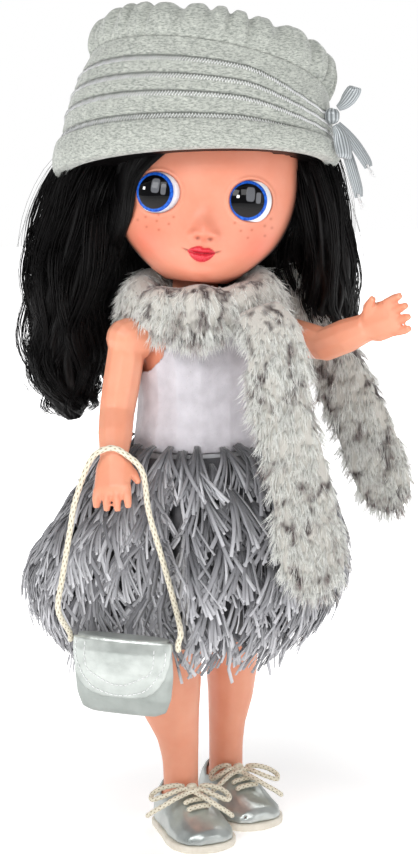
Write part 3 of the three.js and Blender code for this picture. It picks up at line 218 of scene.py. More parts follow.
def lofted(rings, closed_ends=True):
    """Points and faces of a skin over rings of equally many points."""
    rings = np.array(rings, float)
    count, around = rings.shape[:2]
    points = rings.reshape(-1, 3)
    faces = walls(count, around)
    if closed_ends:
        points = np.vstack([points, rings[0].mean(0), rings[-1].mean(0)])
        first = count * around
        last = (count - 1) * around
        faces += [[(k + 1) % around, k, first] for k in range(around)]
        faces += [[last + k, last + (k + 1) % around, first + 1] for k in range(around)]
    return points, faces


def ellipses(middles, width, half_width, depth, half_depth, around):
    """A ring round each middle, on two axes with a half size for each."""
    t = full_turn(around)
    wide = width[:, None] * (np.cos(t) * half_width)[..., None]
    deep = depth[:, None] * (np.sin(t) * half_depth)[..., None]
    return middles[:, None] + wide + deep


def stations(*rows):
    """Stations from rows of the place as it is seen, half width and half thickness."""
    return [(seen(*row[:3]), *row[3:]) for row in rows]


def limb_rings(stops, width_axis, around=32, per=6):
    """Elliptic rings along stations of (middle, half width, half thickness)."""
    rows = smooth([[*middle, wide, thick] for middle, wide, thick in stops], per)
    middles = rows[:, :3]
    along = unit(np.gradient(middles, axis=0))
    axis = np.array(width_axis, float)
    width = unit(axis - along * (along @ axis)[:, None])
    return ellipses(middles, width, rows[:, 3:4], np.cross(along, width), rows[:, 4:5], around)


def way_and_turn(rings):
    """The share of the way along and the turn, at each point of rings."""
    return np.linspace(0, 1, len(rings))[:, None, None], full_turn(rings.shape[1])[None, :, None]


def swollen(rings, swell):
    """Rings let out from their own middles."""
    middles = rings.mean(1, keepdims=True)
    return middles + (rings - middles) * swell


def tube_rings(line, radius, sides=12):
    """Rings round a line, turning as little as they can."""
    line = np.array(line, float)
    along = unit(np.gradient(line, axis=0))
    across = np.zeros_like(line)
    start = np.cross(along[0], [0.3, 0.2, 1])
    for i, forward in enumerate(along):
        start = start - forward * (start @ forward)
        start = start / np.linalg.norm(start)
        across[i] = start
    return ellipses(line, across, radius, np.cross(along, across), radius, sides)


def repeated(name, points, faces, material):
    """One mesh of many like pieces: points is (piece, point, 3), faces are those of one piece."""
    count, each = points.shape[:2]
    every = [[v + i * each for v in face] for i in range(count) for face in faces]
    return mesh_piece(name, points.reshape(-1, 3), every, material)


STRAND_END = 0.55  # a strand's radius before its tip, as a share of its root's


def strands(name, lines, radius, material):
    """Many thin closed strands in one mesh: lines is (strand, step, 3), each pointed at its end."""
    lines = np.array(lines, float)
    count, steps = lines.shape[:2]
    along = unit(np.gradient(lines, axis=1))
    across = unit(np.cross(along, [0.21, 0.13, 0.97]))
    upright = np.cross(along, across)
    radius = np.array(radius, float).reshape(-1, 1, 1)
    taper = np.linspace(1, STRAND_END, steps)[None, :, None]
    corners = [
        lines + radius * taper * (math.cos(a) * across + math.sin(a) * upright)
        for a in (0, 2 * math.pi / 3, 4 * math.pi / 3)
    ]
    rings = np.stack(corners, 2)[:, : steps - 1]
    points = np.concatenate([rings.reshape(count, -1, 3), lines[:, -1:]], 1)
    last = 3 * (steps - 2)
    tips = [[last + k, last + (k + 1) % 3, last + 3] for k in range(3)]
    return repeated(name, points, [[2, 1, 0]] + walls(steps - 1, 3) + tips, material)


def ribbons(name, lines, sideways, width, thickness, material):
    """Many flat closed ribbons in one mesh."""
    lines = np.array(lines, float)
    count, steps = lines.shape[:2]
    along = unit(np.gradient(lines, axis=1))
    side = unit(sideways - along * (sideways * along).sum(2, keepdims=True))
    half = side * (np.array(width, float).reshape(-1, 1, 1) / 2)
    deep = np.cross(along, side) * (thickness / 2)
    corners = [lines + half * a + deep * b for a, b in ((1, -1), (1, 1), (-1, 1), (-1, -1))]
    points = np.stack(corners, 2).reshape(count, -1, 3)
    last = (steps - 1) * 4
    ends = [[3, 2, 1, 0], [last, last + 1, last + 2, last + 3]]
    return repeated(name, points, ends + walls(steps, 4), material)


def applied(piece):
    """Bakes a piece's modifiers into its mesh."""
    bpy.context.view_layer.update()
    shaped = piece.evaluated_get(bpy.context.evaluated_depsgraph_get())
    mesh = bpy.data.meshes.new_from_object(shaped)
    piece.modifiers.clear()
    piece.data = mesh
    mesh.polygons.foreach_set("use_smooth", [True] * len(mesh.polygons))
    return piece


def surface_of(piece, local=None):
    """A piece's surface to cast rays at, in the doll's frame or in the one given."""
    places = [(v.co - SHIFT) / MM for v in piece.data.vertices]
    if local is not None:
        to_local = local.inverted()
        places = [to_local @ place for place in places]
    return BVHTree.FromPolygons(places, [list(p.vertices) for p in piece.data.polygons])


def grown(piece, tree, values):
    """What a node tree grows on a piece, as a plain mesh."""
    growth = piece.modifiers.new("growth", "NODES")
    growth.node_group = tree
    for socket in tree.interface.items_tree:
        if socket.in_out == "INPUT" and socket.name in values:
            growth[socket.identifier] = values[socket.name]
    return applied(piece)


def moulded(name, node, material, voxel, rounds):
    """A CAD node's form as a moulded skin: fine even faces, with the corners rubbed down."""
    piece = placed(name, frame["nodes"][node].data.copy())
    piece.data.name = name
    piece.data.materials.clear()
    outward(piece, merge=0.01)
    remesh = piece.modifiers.new("even", "REMESH")
    remesh.mode = "VOXEL"
    remesh.voxel_size = voxel * MM
    rub = piece.modifiers.new("rub", "SMOOTH")
    rub.iterations = rounds
    rub.factor = 0.5
    applied(piece)
    piece.data.materials.append(material)
    return piece


def wear(piece, body, *nodes, slot=None):
    """Puts a finished piece on its body, for the CAD nodes that it stands for."""
    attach(piece, body)
    if nodes:
        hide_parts(*nodes)
    return piece


def measured(line):
    """A line's length."""
    return float(np.linalg.norm(np.diff(np.array(line, float), axis=0), axis=1).sum())


# Node trees and finishes
def paint(code):
    """A colour as the eye names it, made linear."""
    values = [int(code[i : i + 2], 16) / 255 for i in (1, 3, 5)]
    return [v / 12.92 if v <= 0.04045 else ((v + 0.055) / 1.055) ** 2.4 for v in values] + [1]


class Nodes:
    """Short calls for the nodes of one tree."""

    def __init__(self, tree):
        self.tree = tree

    def feed(self, socket, value):
        if isinstance(value, bpy.types.NodeSocket):
            self.tree.links.new(value, socket)
        else:
            socket.default_value = value

    def node(self, kind, inputs=(), **settings):
        made = self.tree.nodes.new(kind)
        for key, value in settings.items():
            setattr(made, key, value)
        for socket, value in dict(inputs).items():
            self.feed(made.inputs[socket], value)
        return made


class Growth(Nodes):
    """A Geometry Nodes tree that dresses what it grows in a finish; _ stands for a space in its inputs."""

    def __init__(self, name, result, **inputs):
        super().__init__(bpy.data.node_groups.new(name, "GeometryNodeTree"))
        self.result = result
        for label, kind in inputs.items():
            self.socket(label.replace("_", " "), "INPUT", kind)
        self.socket(result, "OUTPUT", "Geometry")
        self.given = self.node("NodeGroupInput").outputs

    def socket(self, label, way, kind):
        self.tree.interface.new_socket(label, in_out=way, socket_type=f"NodeSocket{kind}")

    def finished(self, points, bunch, turn, size, pick=False):
        """Bunches on points, each turned by a node's rotation, made real and dressed."""
        inputs = {"Points": points, "Instance": bunch, "Rotation": turn.outputs["Rotation"], "Scale": size}
        place = self.node("GeometryNodeInstanceOnPoints", {**inputs, "Pick Instance": pick})
        real = self.node("GeometryNodeRealizeInstances", {"Geometry": place.outputs["Instances"]})
        inputs = {"Geometry": real.outputs["Geometry"], "Material": self.given["Finish"]}
        dressed = self.node("GeometryNodeSetMaterial", inputs)
        self.node("NodeGroupOutput", {self.result: dressed.outputs["Geometry"]})
        return self.tree


class Finish(Nodes):
    """A material, built from short calls; _ stands for a space in the names of its sockets."""

    def __init__(self, name, **sockets):
        self.material = bpy.data.materials.new(name)
        self.material.use_nodes = True
        super().__init__(self.material.node_tree)
        self.shader = self.tree.nodes["Principled BSDF"]
        for socket, value in sockets.items():
            self.set(socket.replace("_", " "), value)

    def set(self, socket, value):
        self.feed(self.shader.inputs[socket], value)

    def rough(self, value, low, high):
        """Roughness goes from low to high as value goes from 0 to 1."""
        made = self.node("ShaderNodeMapRange", {"Value": value, "To Min": low, "To Max": high})
        self.set("Roughness", made.outputs["Result"])

    def place(self, stretch=(1, 1, 1)):
        """Object coordinates in millimetres, stretched along each axis."""
        coordinates = self.node("ShaderNodeTexCoord")
        scale = [1000 * s for s in stretch]
        mapping = self.node("ShaderNodeMapping", {"Vector": coordinates.outputs["Object"], "Scale": scale})
        return mapping.outputs["Vector"]

    def noise(self, size, detail=2.0, stretch=(1, 1, 1), roughness=0.5):
        """Noise whose patches are about size millimetres across."""
        inputs = {"Vector": self.place(stretch), "Scale": 1 / size, "Detail": detail, "Roughness": roughness}
        return self.node("ShaderNodeTexNoise", inputs).outputs["Fac"]

    def cells(self, size, feature="F1", output="Distance"):
        inputs = {"Vector": self.place(), "Scale": 1 / size}
        return self.node("ShaderNodeTexVoronoi", inputs, feature=feature).outputs[output]

    def attribute(self, name):
        return self.node("ShaderNodeAttribute", attribute_name=name).outputs["Fac"]

    def ramp(self, value, *stops):
        made = self.node("ShaderNodeValToRGB", {"Fac": value})
        elements = made.color_ramp.elements
        for i, (place, color) in enumerate(stops):
            element = elements[i] if i < 2 else elements.new(place)
            element.position = place
            element.color = paint(color) if isinstance(color, str) else [color, color, color, 1]
        return made.outputs["Color"]

    def mix(self, share, first, second):
        made = self.node("ShaderNodeMix", data_type="RGBA")
        for index, value in ((0, share), (6, first), (7, second)):
            self.feed(made.inputs[index], paint(value) if isinstance(value, str) else value)
        return made.outputs[2]

    def maths(self, operation, first, second=0.5):
        return self.node("ShaderNodeMath", {0: first, 1: second}, operation=operation).outputs[0]

    def times(self, first, second):
        return self.maths("MULTIPLY", first, second)

    def bump(self, height, depth):
        """Raises the surface by up to depth millimetres."""
        inputs = {"Height": height, "Distance": depth * MM, "Strength": 1.0}
        if self.shader.inputs["Normal"].is_linked:
            inputs["Normal"] = self.shader.inputs["Normal"].links[0].from_socket
        self.set("Normal", self.node("ShaderNodeBump", inputs).outputs["Normal"])


def mottled(name, patch, dark, light, grain=None, **sockets):
    """A finish of two tones in soft patches of (size, detail), with a fine (size, depth) grain."""
    made = Finish(name, **sockets)
    made.set("Base Color", made.ramp(made.noise(*patch), dark, light))
    if grain:
        made.bump(made.noise(grain[0], 2), grain[1])
    return made.material


def skin_finish(name, *, face=False):
    """Soft matt vinyl, with a painted face where asked for."""
    skin = Finish(name, Roughness=0.42, Subsurface_Weight=0.18, Subsurface_Scale=0.004)
    skin.set("Subsurface Radius", (1.0, 0.42, 0.28))
    low, high = ("#DA866A", "#DF9177") if face else ("#E39474", "#E7A082")
    tone = skin.ramp(skin.noise(14, 3), (0.3, low), (0.7, high))
    tone = skin.mix(skin.times(skin.noise(1.1, 2), 0.1), tone, "#EBAF94")
    if face:
        tone = skin.mix(skin.attribute("blush"), tone, "#E4644E")
        tone = skin.mix(skin.attribute("freckle"), tone, "#B5593A")
        # Painted shade in the nostrils, under the nose, in the mouth's corner creases and round the eye
        # sockets.
        tone = skin.mix(skin.attribute("shade"), tone, "#8C3F2C")
        # Painted sheen: vertical streaks of lighter red on the lips.
        streak = skin.noise(0.5, 3, stretch=(1.6, 1, 0.25))
        lip = skin.ramp(streak, (0.3, "#C0182A"), (0.75, "#E0404E"))
        tone = skin.mix(skin.attribute("lips"), tone, lip)
        tone = skin.mix(skin.attribute("scalp"), tone, "#080607")
        skin.rough(skin.attribute("lips"), 0.42, 0.16)
    skin.set("Base Color", tone)
    skin.bump(skin.noise(0.35, 2), 0.02)
    skin.bump(skin.noise(9, 2), 0.15)
    return skin.material


SKIN = skin_finish("body_vinyl")
FACE = skin_finish("face_vinyl", face=True)


def braid_finish():
    """Cream yarn with painted shade in its grooves, and a few gold glints."""
    braid = Finish("cream_braid", Roughness=0.62, Sheen_Weight=0.25)
    # Painted shade: the yarn darkens from the plaits' crests into the grooves between them.
    tone = braid.ramp(braid.attribute("groove"), (0.05, "#7F6E52"), (0.55, "#E6DFCB"))
    glint = braid.ramp(braid.noise(0.3, 2), (0.62, 0.0), (0.7, 1.0))
    braid.set("Base Color", braid.mix(braid.times(glint, 0.55), tone, "#C9A24E"))
    braid.set("Metallic", braid.times(glint, 0.7))
    braid.bump(braid.noise(0.12, 2), 0.03)
    return braid.material


BRAID = braid_finish()


# Cords
BRAID_STEP = 0.45
BRAID_SIDES = 32


def even_line(points, step):
    """A smooth curve through points, resampled at an even step."""
    dense = smooth(points, 24)
    reach = np.concatenate([[0], np.cumsum(np.linalg.norm(np.diff(dense, axis=0), axis=1))])
    places = np.linspace(0, reach[-1], max(int(reach[-1] / step), 4) + 1)
    return between(places, reach, dense)


def braided(name, points, diameter, plaits, pitch):
    """A round braid along a curve: two sets of flat plaits that cross each other."""
    line = even_line(points, BRAID_STEP)
    rings = tube_rings(line, 1, BRAID_SIDES)
    reach = np.linspace(0, measured(line), len(line))[:, None]
    turn = full_turn(BRAID_SIDES)[None, :]
    left = np.cos(plaits * turn + 2 * math.pi * reach / pitch * 2)
    right = np.cos(plaits * turn - 2 * math.pi * reach / pitch * 2)
    height = np.maximum(left, right)
    radius = diameter / 2 * (0.9 + 0.1 * height)
    ends = np.clip(np.minimum(reach, reach[-1] - reach) / (0.35 * diameter), 0, 1)
    radius = radius * np.sqrt(0.25 + 0.75 * ends)
    shaped = line[:, None] + (rings - line[:, None]) * radius[..., None]
    piece = mesh_piece(name, *lofted(shaped), BRAID)
    # The plaits' relief, kept for the painted shade in the grooves.
    keep_values(piece, "groove", np.append(0.5 + 0.5 * height, [1, 1]))
    return outward(piece), line


# The bag hangs from the right forearm
CORD_D = 2.6
CORD_TOP = Vector((-57.137, -22.3, 190.275))
BAG_MOUTH_Z = 107
BAG_FRAME = Matrix.Translation((-54.628, -29.297, BAG_MOUTH_Z)) @ turned(-47, "Z")
BAG_WIDTH = 46
FLAP_DROP = 25
CORD_REACH = BAG_WIDTH / 2 + CORD_D / 2 + 1.0


def over(across, towards, z):
    """A place beside the top of the bag's cord, by how it is seen."""
    place = CORD_TOP + ACROSS * across + TOWARDS * towards
    return (place.x, place.y, z)


def bag_cord():
    """Over the forearm, from one end of the bag's mouth to the other."""
    low = BAG_MOUTH_Z
    top = CORD_TOP.z
    points = [
        BAG_FRAME @ Vector((-CORD_REACH, 0, -4)),
        BAG_FRAME @ Vector((-CORD_REACH, 0, 0)),
        over(-22.4, 10, low + 14),
        over(-20.6, 7.4, low + 28),
        over(-17.6, 5, low + 46),
        over(-14.6, 4.2, low + 62),
        over(-8, 0.8, top - 4.6),
        over(0, 0, top),
        over(6.8, 0.8, top - 2.6),
        over(14, 2.4, top - 10),
        over(16.6, 2, low + 56),
        over(21.4, 1.2, low + 38),
        over(26.6, -0.4, low + 18),
        BAG_FRAME @ Vector((CORD_REACH + 1, 0, 6)),
        BAG_FRAME @ Vector((CORD_REACH, 0, 0)),
        BAG_FRAME @ Vector((CORD_REACH, 0, -4)),
    ]
    piece, line = braided("strap_braid", points, CORD_D, plaits=4, pitch=8)
    wear(piece, "bag", "bag_cord", slot="braid")


bag_cord()


# Shoes, each in a frame at its ankle on the floor
FLOOR_Z = 0
SOLE_T = 3.4
UPPER_HEIGHT = 23
ANKLE_X = 15.7
FEET_ACROSS = 8.2
SHOE_BACK = {"right": 8, "left": 22}
SHOE_TURN = {"right": -4, "left": 0}
SIDE = {"right": -1, "left": 1}
INNER_REACH = {"right": 0.9, "left": 0.62}
SHOE_FRAME = {
    word: Matrix.Translation((SIDE[word] * ANKLE_X + FEET_ACROSS, SHOE_BACK[word], FLOOR_Z))
    @ turned(SHOE_TURN[word], "Z")
    for word in SIDE
}
INSTEP = [(0, 1), (-6, 0.97), (-13, 0.82), (-18.75, 0.62), (-27.75, 0.44)]


def instep(y):
    """The height of the shoe's instep ahead of the ankle."""
    ahead = [-row[0] for row in INSTEP]
    tall = np.interp(-y, ahead, [row[1] for row in INSTEP])
    return SOLE_T + tall * (UPPER_HEIGHT - SOLE_T)


LACE_D = 2.4
LACE_BRAID = {"plaits": 3, "pitch": 5}
KNOT_Y = -12.5
KNOT_Z = instep(KNOT_Y) + 3.1


def lace_bow(word):
    """A knot and two laces: each makes a loop on one side and goes through the knot to its tail."""
    side = SIDE[word]
    bow = SHOE_FRAME[word] @ Matrix.Translation((0, KNOT_Y, KNOT_Z)) @ turned(-28 - SHOE_TURN[word], "Z")
    loop = [
        (3.4, 0.3, 0.5), (8, -0.6, 1.3), (14, 0.6, -0.5), (18.4, -0.3, -3.1),
        (18.2, -3.6, -4.4), (13, -5.2, -2.3), (8, -4.6, -0.3), (3.9, -2.2, 0.2),
    ]
    tail = [(3.1, -4.2, -1.5), (7.5, -8, -2.4), (12.5, -9.6, -5), (17.5, -9, -8.2), (21, -7, -11.4)]
    knot_rings = []
    a = full_turn(28)
    for t in np.linspace(-math.pi / 2, math.pi / 2, 15):
        fold = 1 + 0.09 * np.cos(3 * a + 2.2 * math.sin(t))
        thick = 2.4 * (math.cos(t) * fold)
        knot_rings.append(np.stack([2.7 * math.sin(t) + 0 * a, thick * np.cos(a), thick * np.sin(a)], 1))
    knot = outward(mesh_piece(f"{word}_bow_knot", *lofted(knot_rings), BRAID, local=bow), merge=0.01)
    keep_values(knot, "groove", [0.8] * len(knot.data.vertices))
    body = f"{word}_leg_body"
    wear(knot, body, f"{word}_lace_knot", slot="braid")
    for place, way in (("outer", side), ("inner", -side)):
        other = "inner" if place == "outer" else "outer"
        reach = INNER_REACH[word] if place == "inner" else 1
        other_reach = INNER_REACH[word] if other == "inner" else 1
        points = [(way * (3.4 + reach * (x - 3.4)), y, z) for x, y, z in loop]
        points.append((0, -3.2 - 0.5 * way, -0.4))
        points += [(-way * (3.1 + other_reach * (x - 3.1)), y, z) for x, y, z in tail]
        points = [bow @ Vector(p) for p in points]
        piece, line = braided(f"{word}_lace_{place}", points, LACE_D, **LACE_BRAID)
        wear(piece, body, f"{word}_lace_loop_{place}", f"{word}_lace_tail_{other}", slot="braid")
    for n, ahead in ((1, 4.6), (2, 8.4)):
        points = []
        for s in (-1, -0.6, 0, 0.6, 1):
            y = KNOT_Y - ahead
            lift = instep(y) + LACE_D / 2 + 0.7 - 0.9 * abs(s) ** 3
            points.append(SHOE_FRAME[word] @ Vector((6.2 * s, y + 0.6 * s, lift)))
        rung, _ = braided(f"{word}_rung_{n}", points, LACE_D, **LACE_BRAID)
        wear(rung, body, f"{word}_lace_rung_{n}", slot="braid")


for word in SIDE:
    lace_bow(word)


# Head
HEAD_WIDTH = 83
HEAD_FRONT = 38
HEAD_BACK = 41
HEAD_UP = 40
HEAD_DOWN = 46.5
HEAD_FORWARD = 5
HEAD_POWER = 2.15  # how square its rings are: 2 is an ellipse
NECK_HOLE_Z, CHIN_Z, BROW_Z, CROWN_Z = 9.5, 12, 66, 96
HEAD_ROWS = [  # height, half width, front and back, as shares
    (-1, 0.33, 0.6, 0.46), (-0.92, 0.48, 0.82, 0.58), (-0.8, 0.64, 0.93, 0.68),
    (-0.62, 0.82, 0.97, 0.78), (-0.4, 0.94, 0.985, 0.9), (-0.15, 1, 0.99, 0.97),
    (0.1, 1, 1, 1), (0.35, 0.98, 0.97, 1), (0.58, 0.9, 0.88, 0.93),
    (0.78, 0.73, 0.7, 0.76), (0.92, 0.48, 0.45, 0.5), (1, 0.2, 0.18, 0.2),
]
EYES = {"right": (-19.3, 46.3), "left": (20.6, 46.3)}
EYE_WIDE = 9.5
EYE_TALL = 8.9
EYEBALL_R = 13
EYEBALL = {"right": (-16.85, 46.2), "left": (18.15, 46.2)}
EYE_SINK = 2.4
LID_RIM = 0.6
SOCKET_DEPTH = 5.5
EYE_OUTWARD = 0.22
GAZE_TURN = -8
GLASS_PROUD = 1.0  # how far the iris stands off the white
GLASS_BACK = 0.25
IRIS_HALF = math.asin(8.3 / 13.6)
MOUTH_X = 1.4
MOUTH_Z = 22.0
LIP_HALF = 6.1


def head_outline(z):
    """Half width, front and back of the head at heights above the neck joint."""
    rows = smooth(HEAD_ROWS, 10)
    share = (z - HEAD_MIDDLE) / np.where(z < HEAD_MIDDLE, HEAD_DOWN, HEAD_UP)
    wide, front, back = (np.interp(share, rows[:, 0], rows[:, k]) for k in (1, 2, 3))
    return wide * HEAD_WIDTH / 2, front * HEAD_FRONT, back * HEAD_BACK


def soft(x, z, at, size):
    """A rounded bump of height 1 at a place on the face."""
    return np.exp(-(((x - at[0]) / size[0]) ** 2) - ((z - at[1]) / size[1]) ** 2)


def step(edge_0, edge_1, value):
    """0 before the first edge, 1 past the second, smooth between."""
    t = np.clip((value - edge_0) / (edge_1 - edge_0), 0, 1)
    return t * t * (3 - 2 * t)


def lip_lines(x):
    """The mouth's line, the upper lip's top and the lower lip's bottom at x."""
    u = np.clip((x - MOUTH_X) / LIP_HALF, -1, 1)
    line = MOUTH_Z + 0.9 * np.clip((x - MOUTH_X) / LIP_HALF, -1.5, 1.5) ** 2
    top = line + 3.3 * (1 - np.abs(u) ** 1.9) - 0.8 * np.exp(-(((x - 2.4) / 1.2) ** 2))
    bottom = line - 3.9 * np.maximum(1 - u**2, 0) ** 0.75
    return u, line, top, bottom


FACE_FORMS = [  # how far forward, the middle and the size of each form of the face
    (0.3, (1.6, 38.5), (3.6, 6)),  # bridge of the nose
    (1.7, (-2.8, 30), (1.8, 1.9)),  # its wings
    (1.7, (6.8, 30), (1.8, 1.9)),
    (-1.5, (-0.7, 28.3), (1.1, 0.75)),  # nostrils
    (-1.5, (4.7, 28.3), (1.1, 0.75)),
    (-0.5, (2.1, 26.6), (1.1, 1.3)),  # groove below the nose
    (1.7, (2, 22), (10, 7)),  # round the mouth
    (-0.9, (2.4, 16.3), (6, 1.5)),  # dip below it
    (2.4, (2.6, 12.4), (9, 5.4)),  # chin
    (1.8, (-21, 25), (11, 9)),  # cheeks
    (1.8, (25, 26), (11, 9)),
]
NOSE_TIP = (2, 31)
NOSE_FORWARD = 5.2
# Painted shade in the nostrils and under the nose.
FACE_SHADE = [
    (0.85, (-0.7, 28.4), (0.95, 0.6)), (0.85, (4.7, 28.4), (0.95, 0.6)), (0.22, (2, 27.6), (3.6, 1)),
]
FACE_BLUSH = [
    (0.4, (-22, 25), (9.5, 7.5)), (0.4, (26, 26.5), (9.5, 7.5)),
    (0.16, (2, 31), (6, 5)), (0.14, (2.5, 12), (8, 5)),
]


def summed(x, z, forms):
    return sum(height * soft(x, z, at, size) for height, at, size in forms)


def face_relief(x, z):
    """How far the face stands forward of the plain head, its painted parts and its painted shade."""
    tall = np.where(z > NOSE_TIP[1], 6.5, 3.4)
    forward = NOSE_FORWARD * soft(x, z, NOSE_TIP, (4.4, tall)) + summed(x, z, FACE_FORMS)
    u, line, top, bottom = lip_lines(x)
    beyond = np.abs(x - MOUTH_X) / LIP_HALF
    upper = np.clip((z - line) / np.maximum(top - line, 0.05), 0, 1)
    lower = np.clip((line - z) / np.maximum(line - bottom, 0.05), 0, 1)
    full = 1.5 * np.sin(math.pi * upper) + 1.9 * np.sin(math.pi * lower**0.9)
    forward += np.where(beyond < 1, full * (1 - u**4), 0)
    crease = np.exp(-(((z - line) / 0.38) ** 2)) * step(1.5, 1.1, beyond)
    forward -= 0.9 * crease
    edge = np.minimum(top - z, z - bottom)
    lips = step(-0.15, 0.25, edge) * step(1.0, 0.94, beyond)
    # Painted shade in the creases at the mouth's corners, with the nostrils and under the nose.
    shade = 0.75 * crease + summed(x, z, FACE_SHADE)
    return forward, lips, shade, summed(x, z, FACE_BLUSH)


FRECKLES = [
    (-23.9, 35.3), (-18.9, 34.0), (-18.3, 36.6), (-11.8, 36.3), (-13.6, 33.2), (-23.1, 31.1),
    (-17.7, 30.3), (-27.3, 33.8), (14.5, 36.2), (22.1, 33.9), (17.4, 33.1), (20.7, 30.4),
    (27.6, 36.2), (30.0, 39.5), (30.9, 35.7), (28.1, 32.0),
]
FRINGE_EDGE = [
    (-3, 84), (-8, 78), (-11, 71), (-15.7, 65), (-21, 59.6), (-24.9, 55.4), (-27.9, 51.3),
    (-29.3, 45.2), (-29.8, 36.2), (-32, 29), (-35.5, 18), (-38, 6),
]


def head():
    """The painted head: rings with finer rows and turns over the face."""
    low = np.linspace(NECK_HOLE_Z, CHIN_Z, 5)[:-1]
    heights = np.concatenate([low, np.linspace(CHIN_Z, BROW_Z, 124)[:-1], np.linspace(BROW_Z, CROWN_Z, 16)])
    front_turns = np.linspace(-0.5 * math.pi, 0.5 * math.pi, 251)
    back_turns = np.linspace(0.5 * math.pi, 1.5 * math.pi, 50)[1:-1]
    turns = np.concatenate([front_turns, back_turns])
    wide, front, back = (v[:, None] for v in head_outline(heights))
    s, c = np.sin(turns)[None], np.cos(turns)[None]
    power = 2 / HEAD_POWER
    x = wide * np.sign(s) * np.abs(s) ** power
    deep = np.where(c > 0, front, back)
    y = -HEAD_FORWARD - deep * np.sign(c) * np.abs(c) ** power
    z = heights[:, None] + 0 * x
    forward, lips, shade, blush = face_relief(x, z)
    ahead = step(0.15, 0.5, c)
    for middle_x, middle_z in EYES.values():
        away = np.sqrt(((x - middle_x) / EYE_WIDE) ** 2 + ((z - middle_z) / EYE_TALL) ** 2)
        forward += LID_RIM * np.exp(-(((away - 1.09) / 0.08) ** 2))
        forward -= SOCKET_DEPTH * step(1.0, 0.88, away)
        # Painted shade round the edge of each eye socket.
        shade = shade + 0.5 * np.exp(-(((away - 0.97) / 0.045) ** 2))
    y = y - forward * ahead
    piece = mesh_piece("painted_head", *lofted(np.stack([x, y, z], 2)), FACE, local=HEAD_FRAME)
    freckle = summed(x, z, [(0.8, at, (0.6, 0.55)) for at in FRECKLES])
    ups, acrosses = np.array(sorted((up, across) for across, up in FRINGE_EDGE)).T
    edge = np.interp(z[:, 0], ups, acrosses)[:, None]
    scalp = np.maximum(step(edge - 1.5, edge - 3.5, x), 1 - ahead) * (z > 14)
    parts = [("lips", lips * ahead), ("shade", shade * ahead), ("blush", blush * ahead)]
    for name, values in parts + [("freckle", freckle * ahead), ("scalp", scalp)]:
        keep_values(piece, name, np.append(np.clip(values, 0, 1), [0, 0]))
    wear(outward(piece), "head", "head_shell", slot="skin")


head()


# Eyes
def iris_finish():
    """A near-black dome with a blue rim, with painted reflections: two pale windows, a dim glow below and a
    white highlight dot.
    """
    iris = Finish(
        "dark_iris", Roughness=0.06, Specular_IOR_Level=0.12, Coat_Weight=0.12, Coat_Roughness=0.02
    )
    place = iris.node("ShaderNodeUVMap", uv_map="disc").outputs["UV"]
    parts = iris.node("ShaderNodeSeparateXYZ", {"Vector": place})
    across, up = parts.outputs["X"], parts.outputs["Y"]

    def painted_reflection(middle_x, middle_y, half_x, half_y, edge=0.05):
        """A soft-edged rounded patch, for a painted reflection."""
        powers = []
        for value, middle, half in ((across, middle_x, half_x), (up, middle_y, half_y)):
            off = iris.maths("DIVIDE", iris.maths("SUBTRACT", value, middle), half)
            powers.append(iris.maths("POWER", iris.maths("ABSOLUTE", off), 4.0))
        inputs = {"Value": iris.maths("ADD", *powers), "From Min": 1 + edge * 6, "From Max": 1 - edge * 4}
        return iris.node("ShaderNodeMapRange", inputs).outputs["Result"]

    radius = iris.maths("SQRT", iris.maths("ADD", iris.times(across, across), iris.times(up, up)))
    rim = iris.ramp(radius, (0.81, 0.0), (0.85, 1.0))
    # Painted reflection: the lower half of the dome glows dimly lighter.
    glow = iris.ramp(iris.maths("ADD", up, 1.0), (0.2, 1.0), (0.75, 0.0))
    tone = iris.mix(iris.times(glow, 0.6), "#040406", "#2E2A2C")
    # Painted reflections of two windows on the glossy dome.
    for box in ((0.1, 0.3, 0.2, 0.34), (0.5, 0.16, 0.12, 0.26)):
        tone = iris.mix(iris.times(painted_reflection(*box), 0.42), tone, "#8E9096")
    blue = iris.ramp(iris.noise(1.2, 3), (0.3, "#0A3C9C"), (0.7, "#2A6AD4"))
    tone = iris.mix(rim, tone, blue)
    # Painted highlight: a small white dot.
    tone = iris.mix(painted_reflection(-0.48, 0.14, 0.07, 0.07), tone, "#FFFFFF")
    iris.set("Base Color", tone)
    return iris.material


EYE_WHITE = mottled(
    "eye_white", (5, 2), (0.3, "#DADDE4"), (0.7, "#ECEEF2"), Roughness=0.1, Coat_Weight=0.25
)
IRIS = iris_finish()


def eye_centre(word):
    """An eyeball's middle, in the head's frame."""
    x, z = EYEBALL[word]
    face = -HEAD_FORWARD - HEAD_FRONT * math.sqrt(1 - (x / (HEAD_WIDTH / 2)) ** 2)
    return Vector((x, face + EYEBALL_R - EYE_SINK, z))


def dish(name, middle, aim, outer, inner, half_angle, material, uv=False):
    """A curved disc about an aim: its front lies on one sphere and its back on a smaller one."""
    aim = Vector(aim).normalized()
    side = aim.cross(UP).normalized() * -1
    upright = side.cross(aim) * -1
    rows = []
    flat = []
    angles = np.linspace(0.02, half_angle, 22)
    turns = full_turn(56)
    for radius, sweep in ((outer, angles), (inner, angles[::-1])):
        for a in sweep:
            ring = []
            for k in turns:
                spoke = side * math.cos(k) + upright * math.sin(k)
                ring.append(list(middle + aim * radius * math.cos(a) + spoke * radius * math.sin(a)))
            rows.append(ring)
            flat.append([(math.cos(k) * a / half_angle, math.sin(k) * a / half_angle) for k in turns])
    piece = mesh_piece(name, *lofted(rows), material, local=HEAD_FRAME)
    if uv:
        layer = piece.data.uv_layers.new(name="disc")
        spots = np.vstack([np.array(flat).reshape(-1, 2), [[0, 0], [0, 0]]])
        corners = np.zeros(len(piece.data.loops), int)
        piece.data.loops.foreach_get("vertex_index", corners)
        layer.data.foreach_set("uv", spots[corners].ravel())
    return outward(piece)


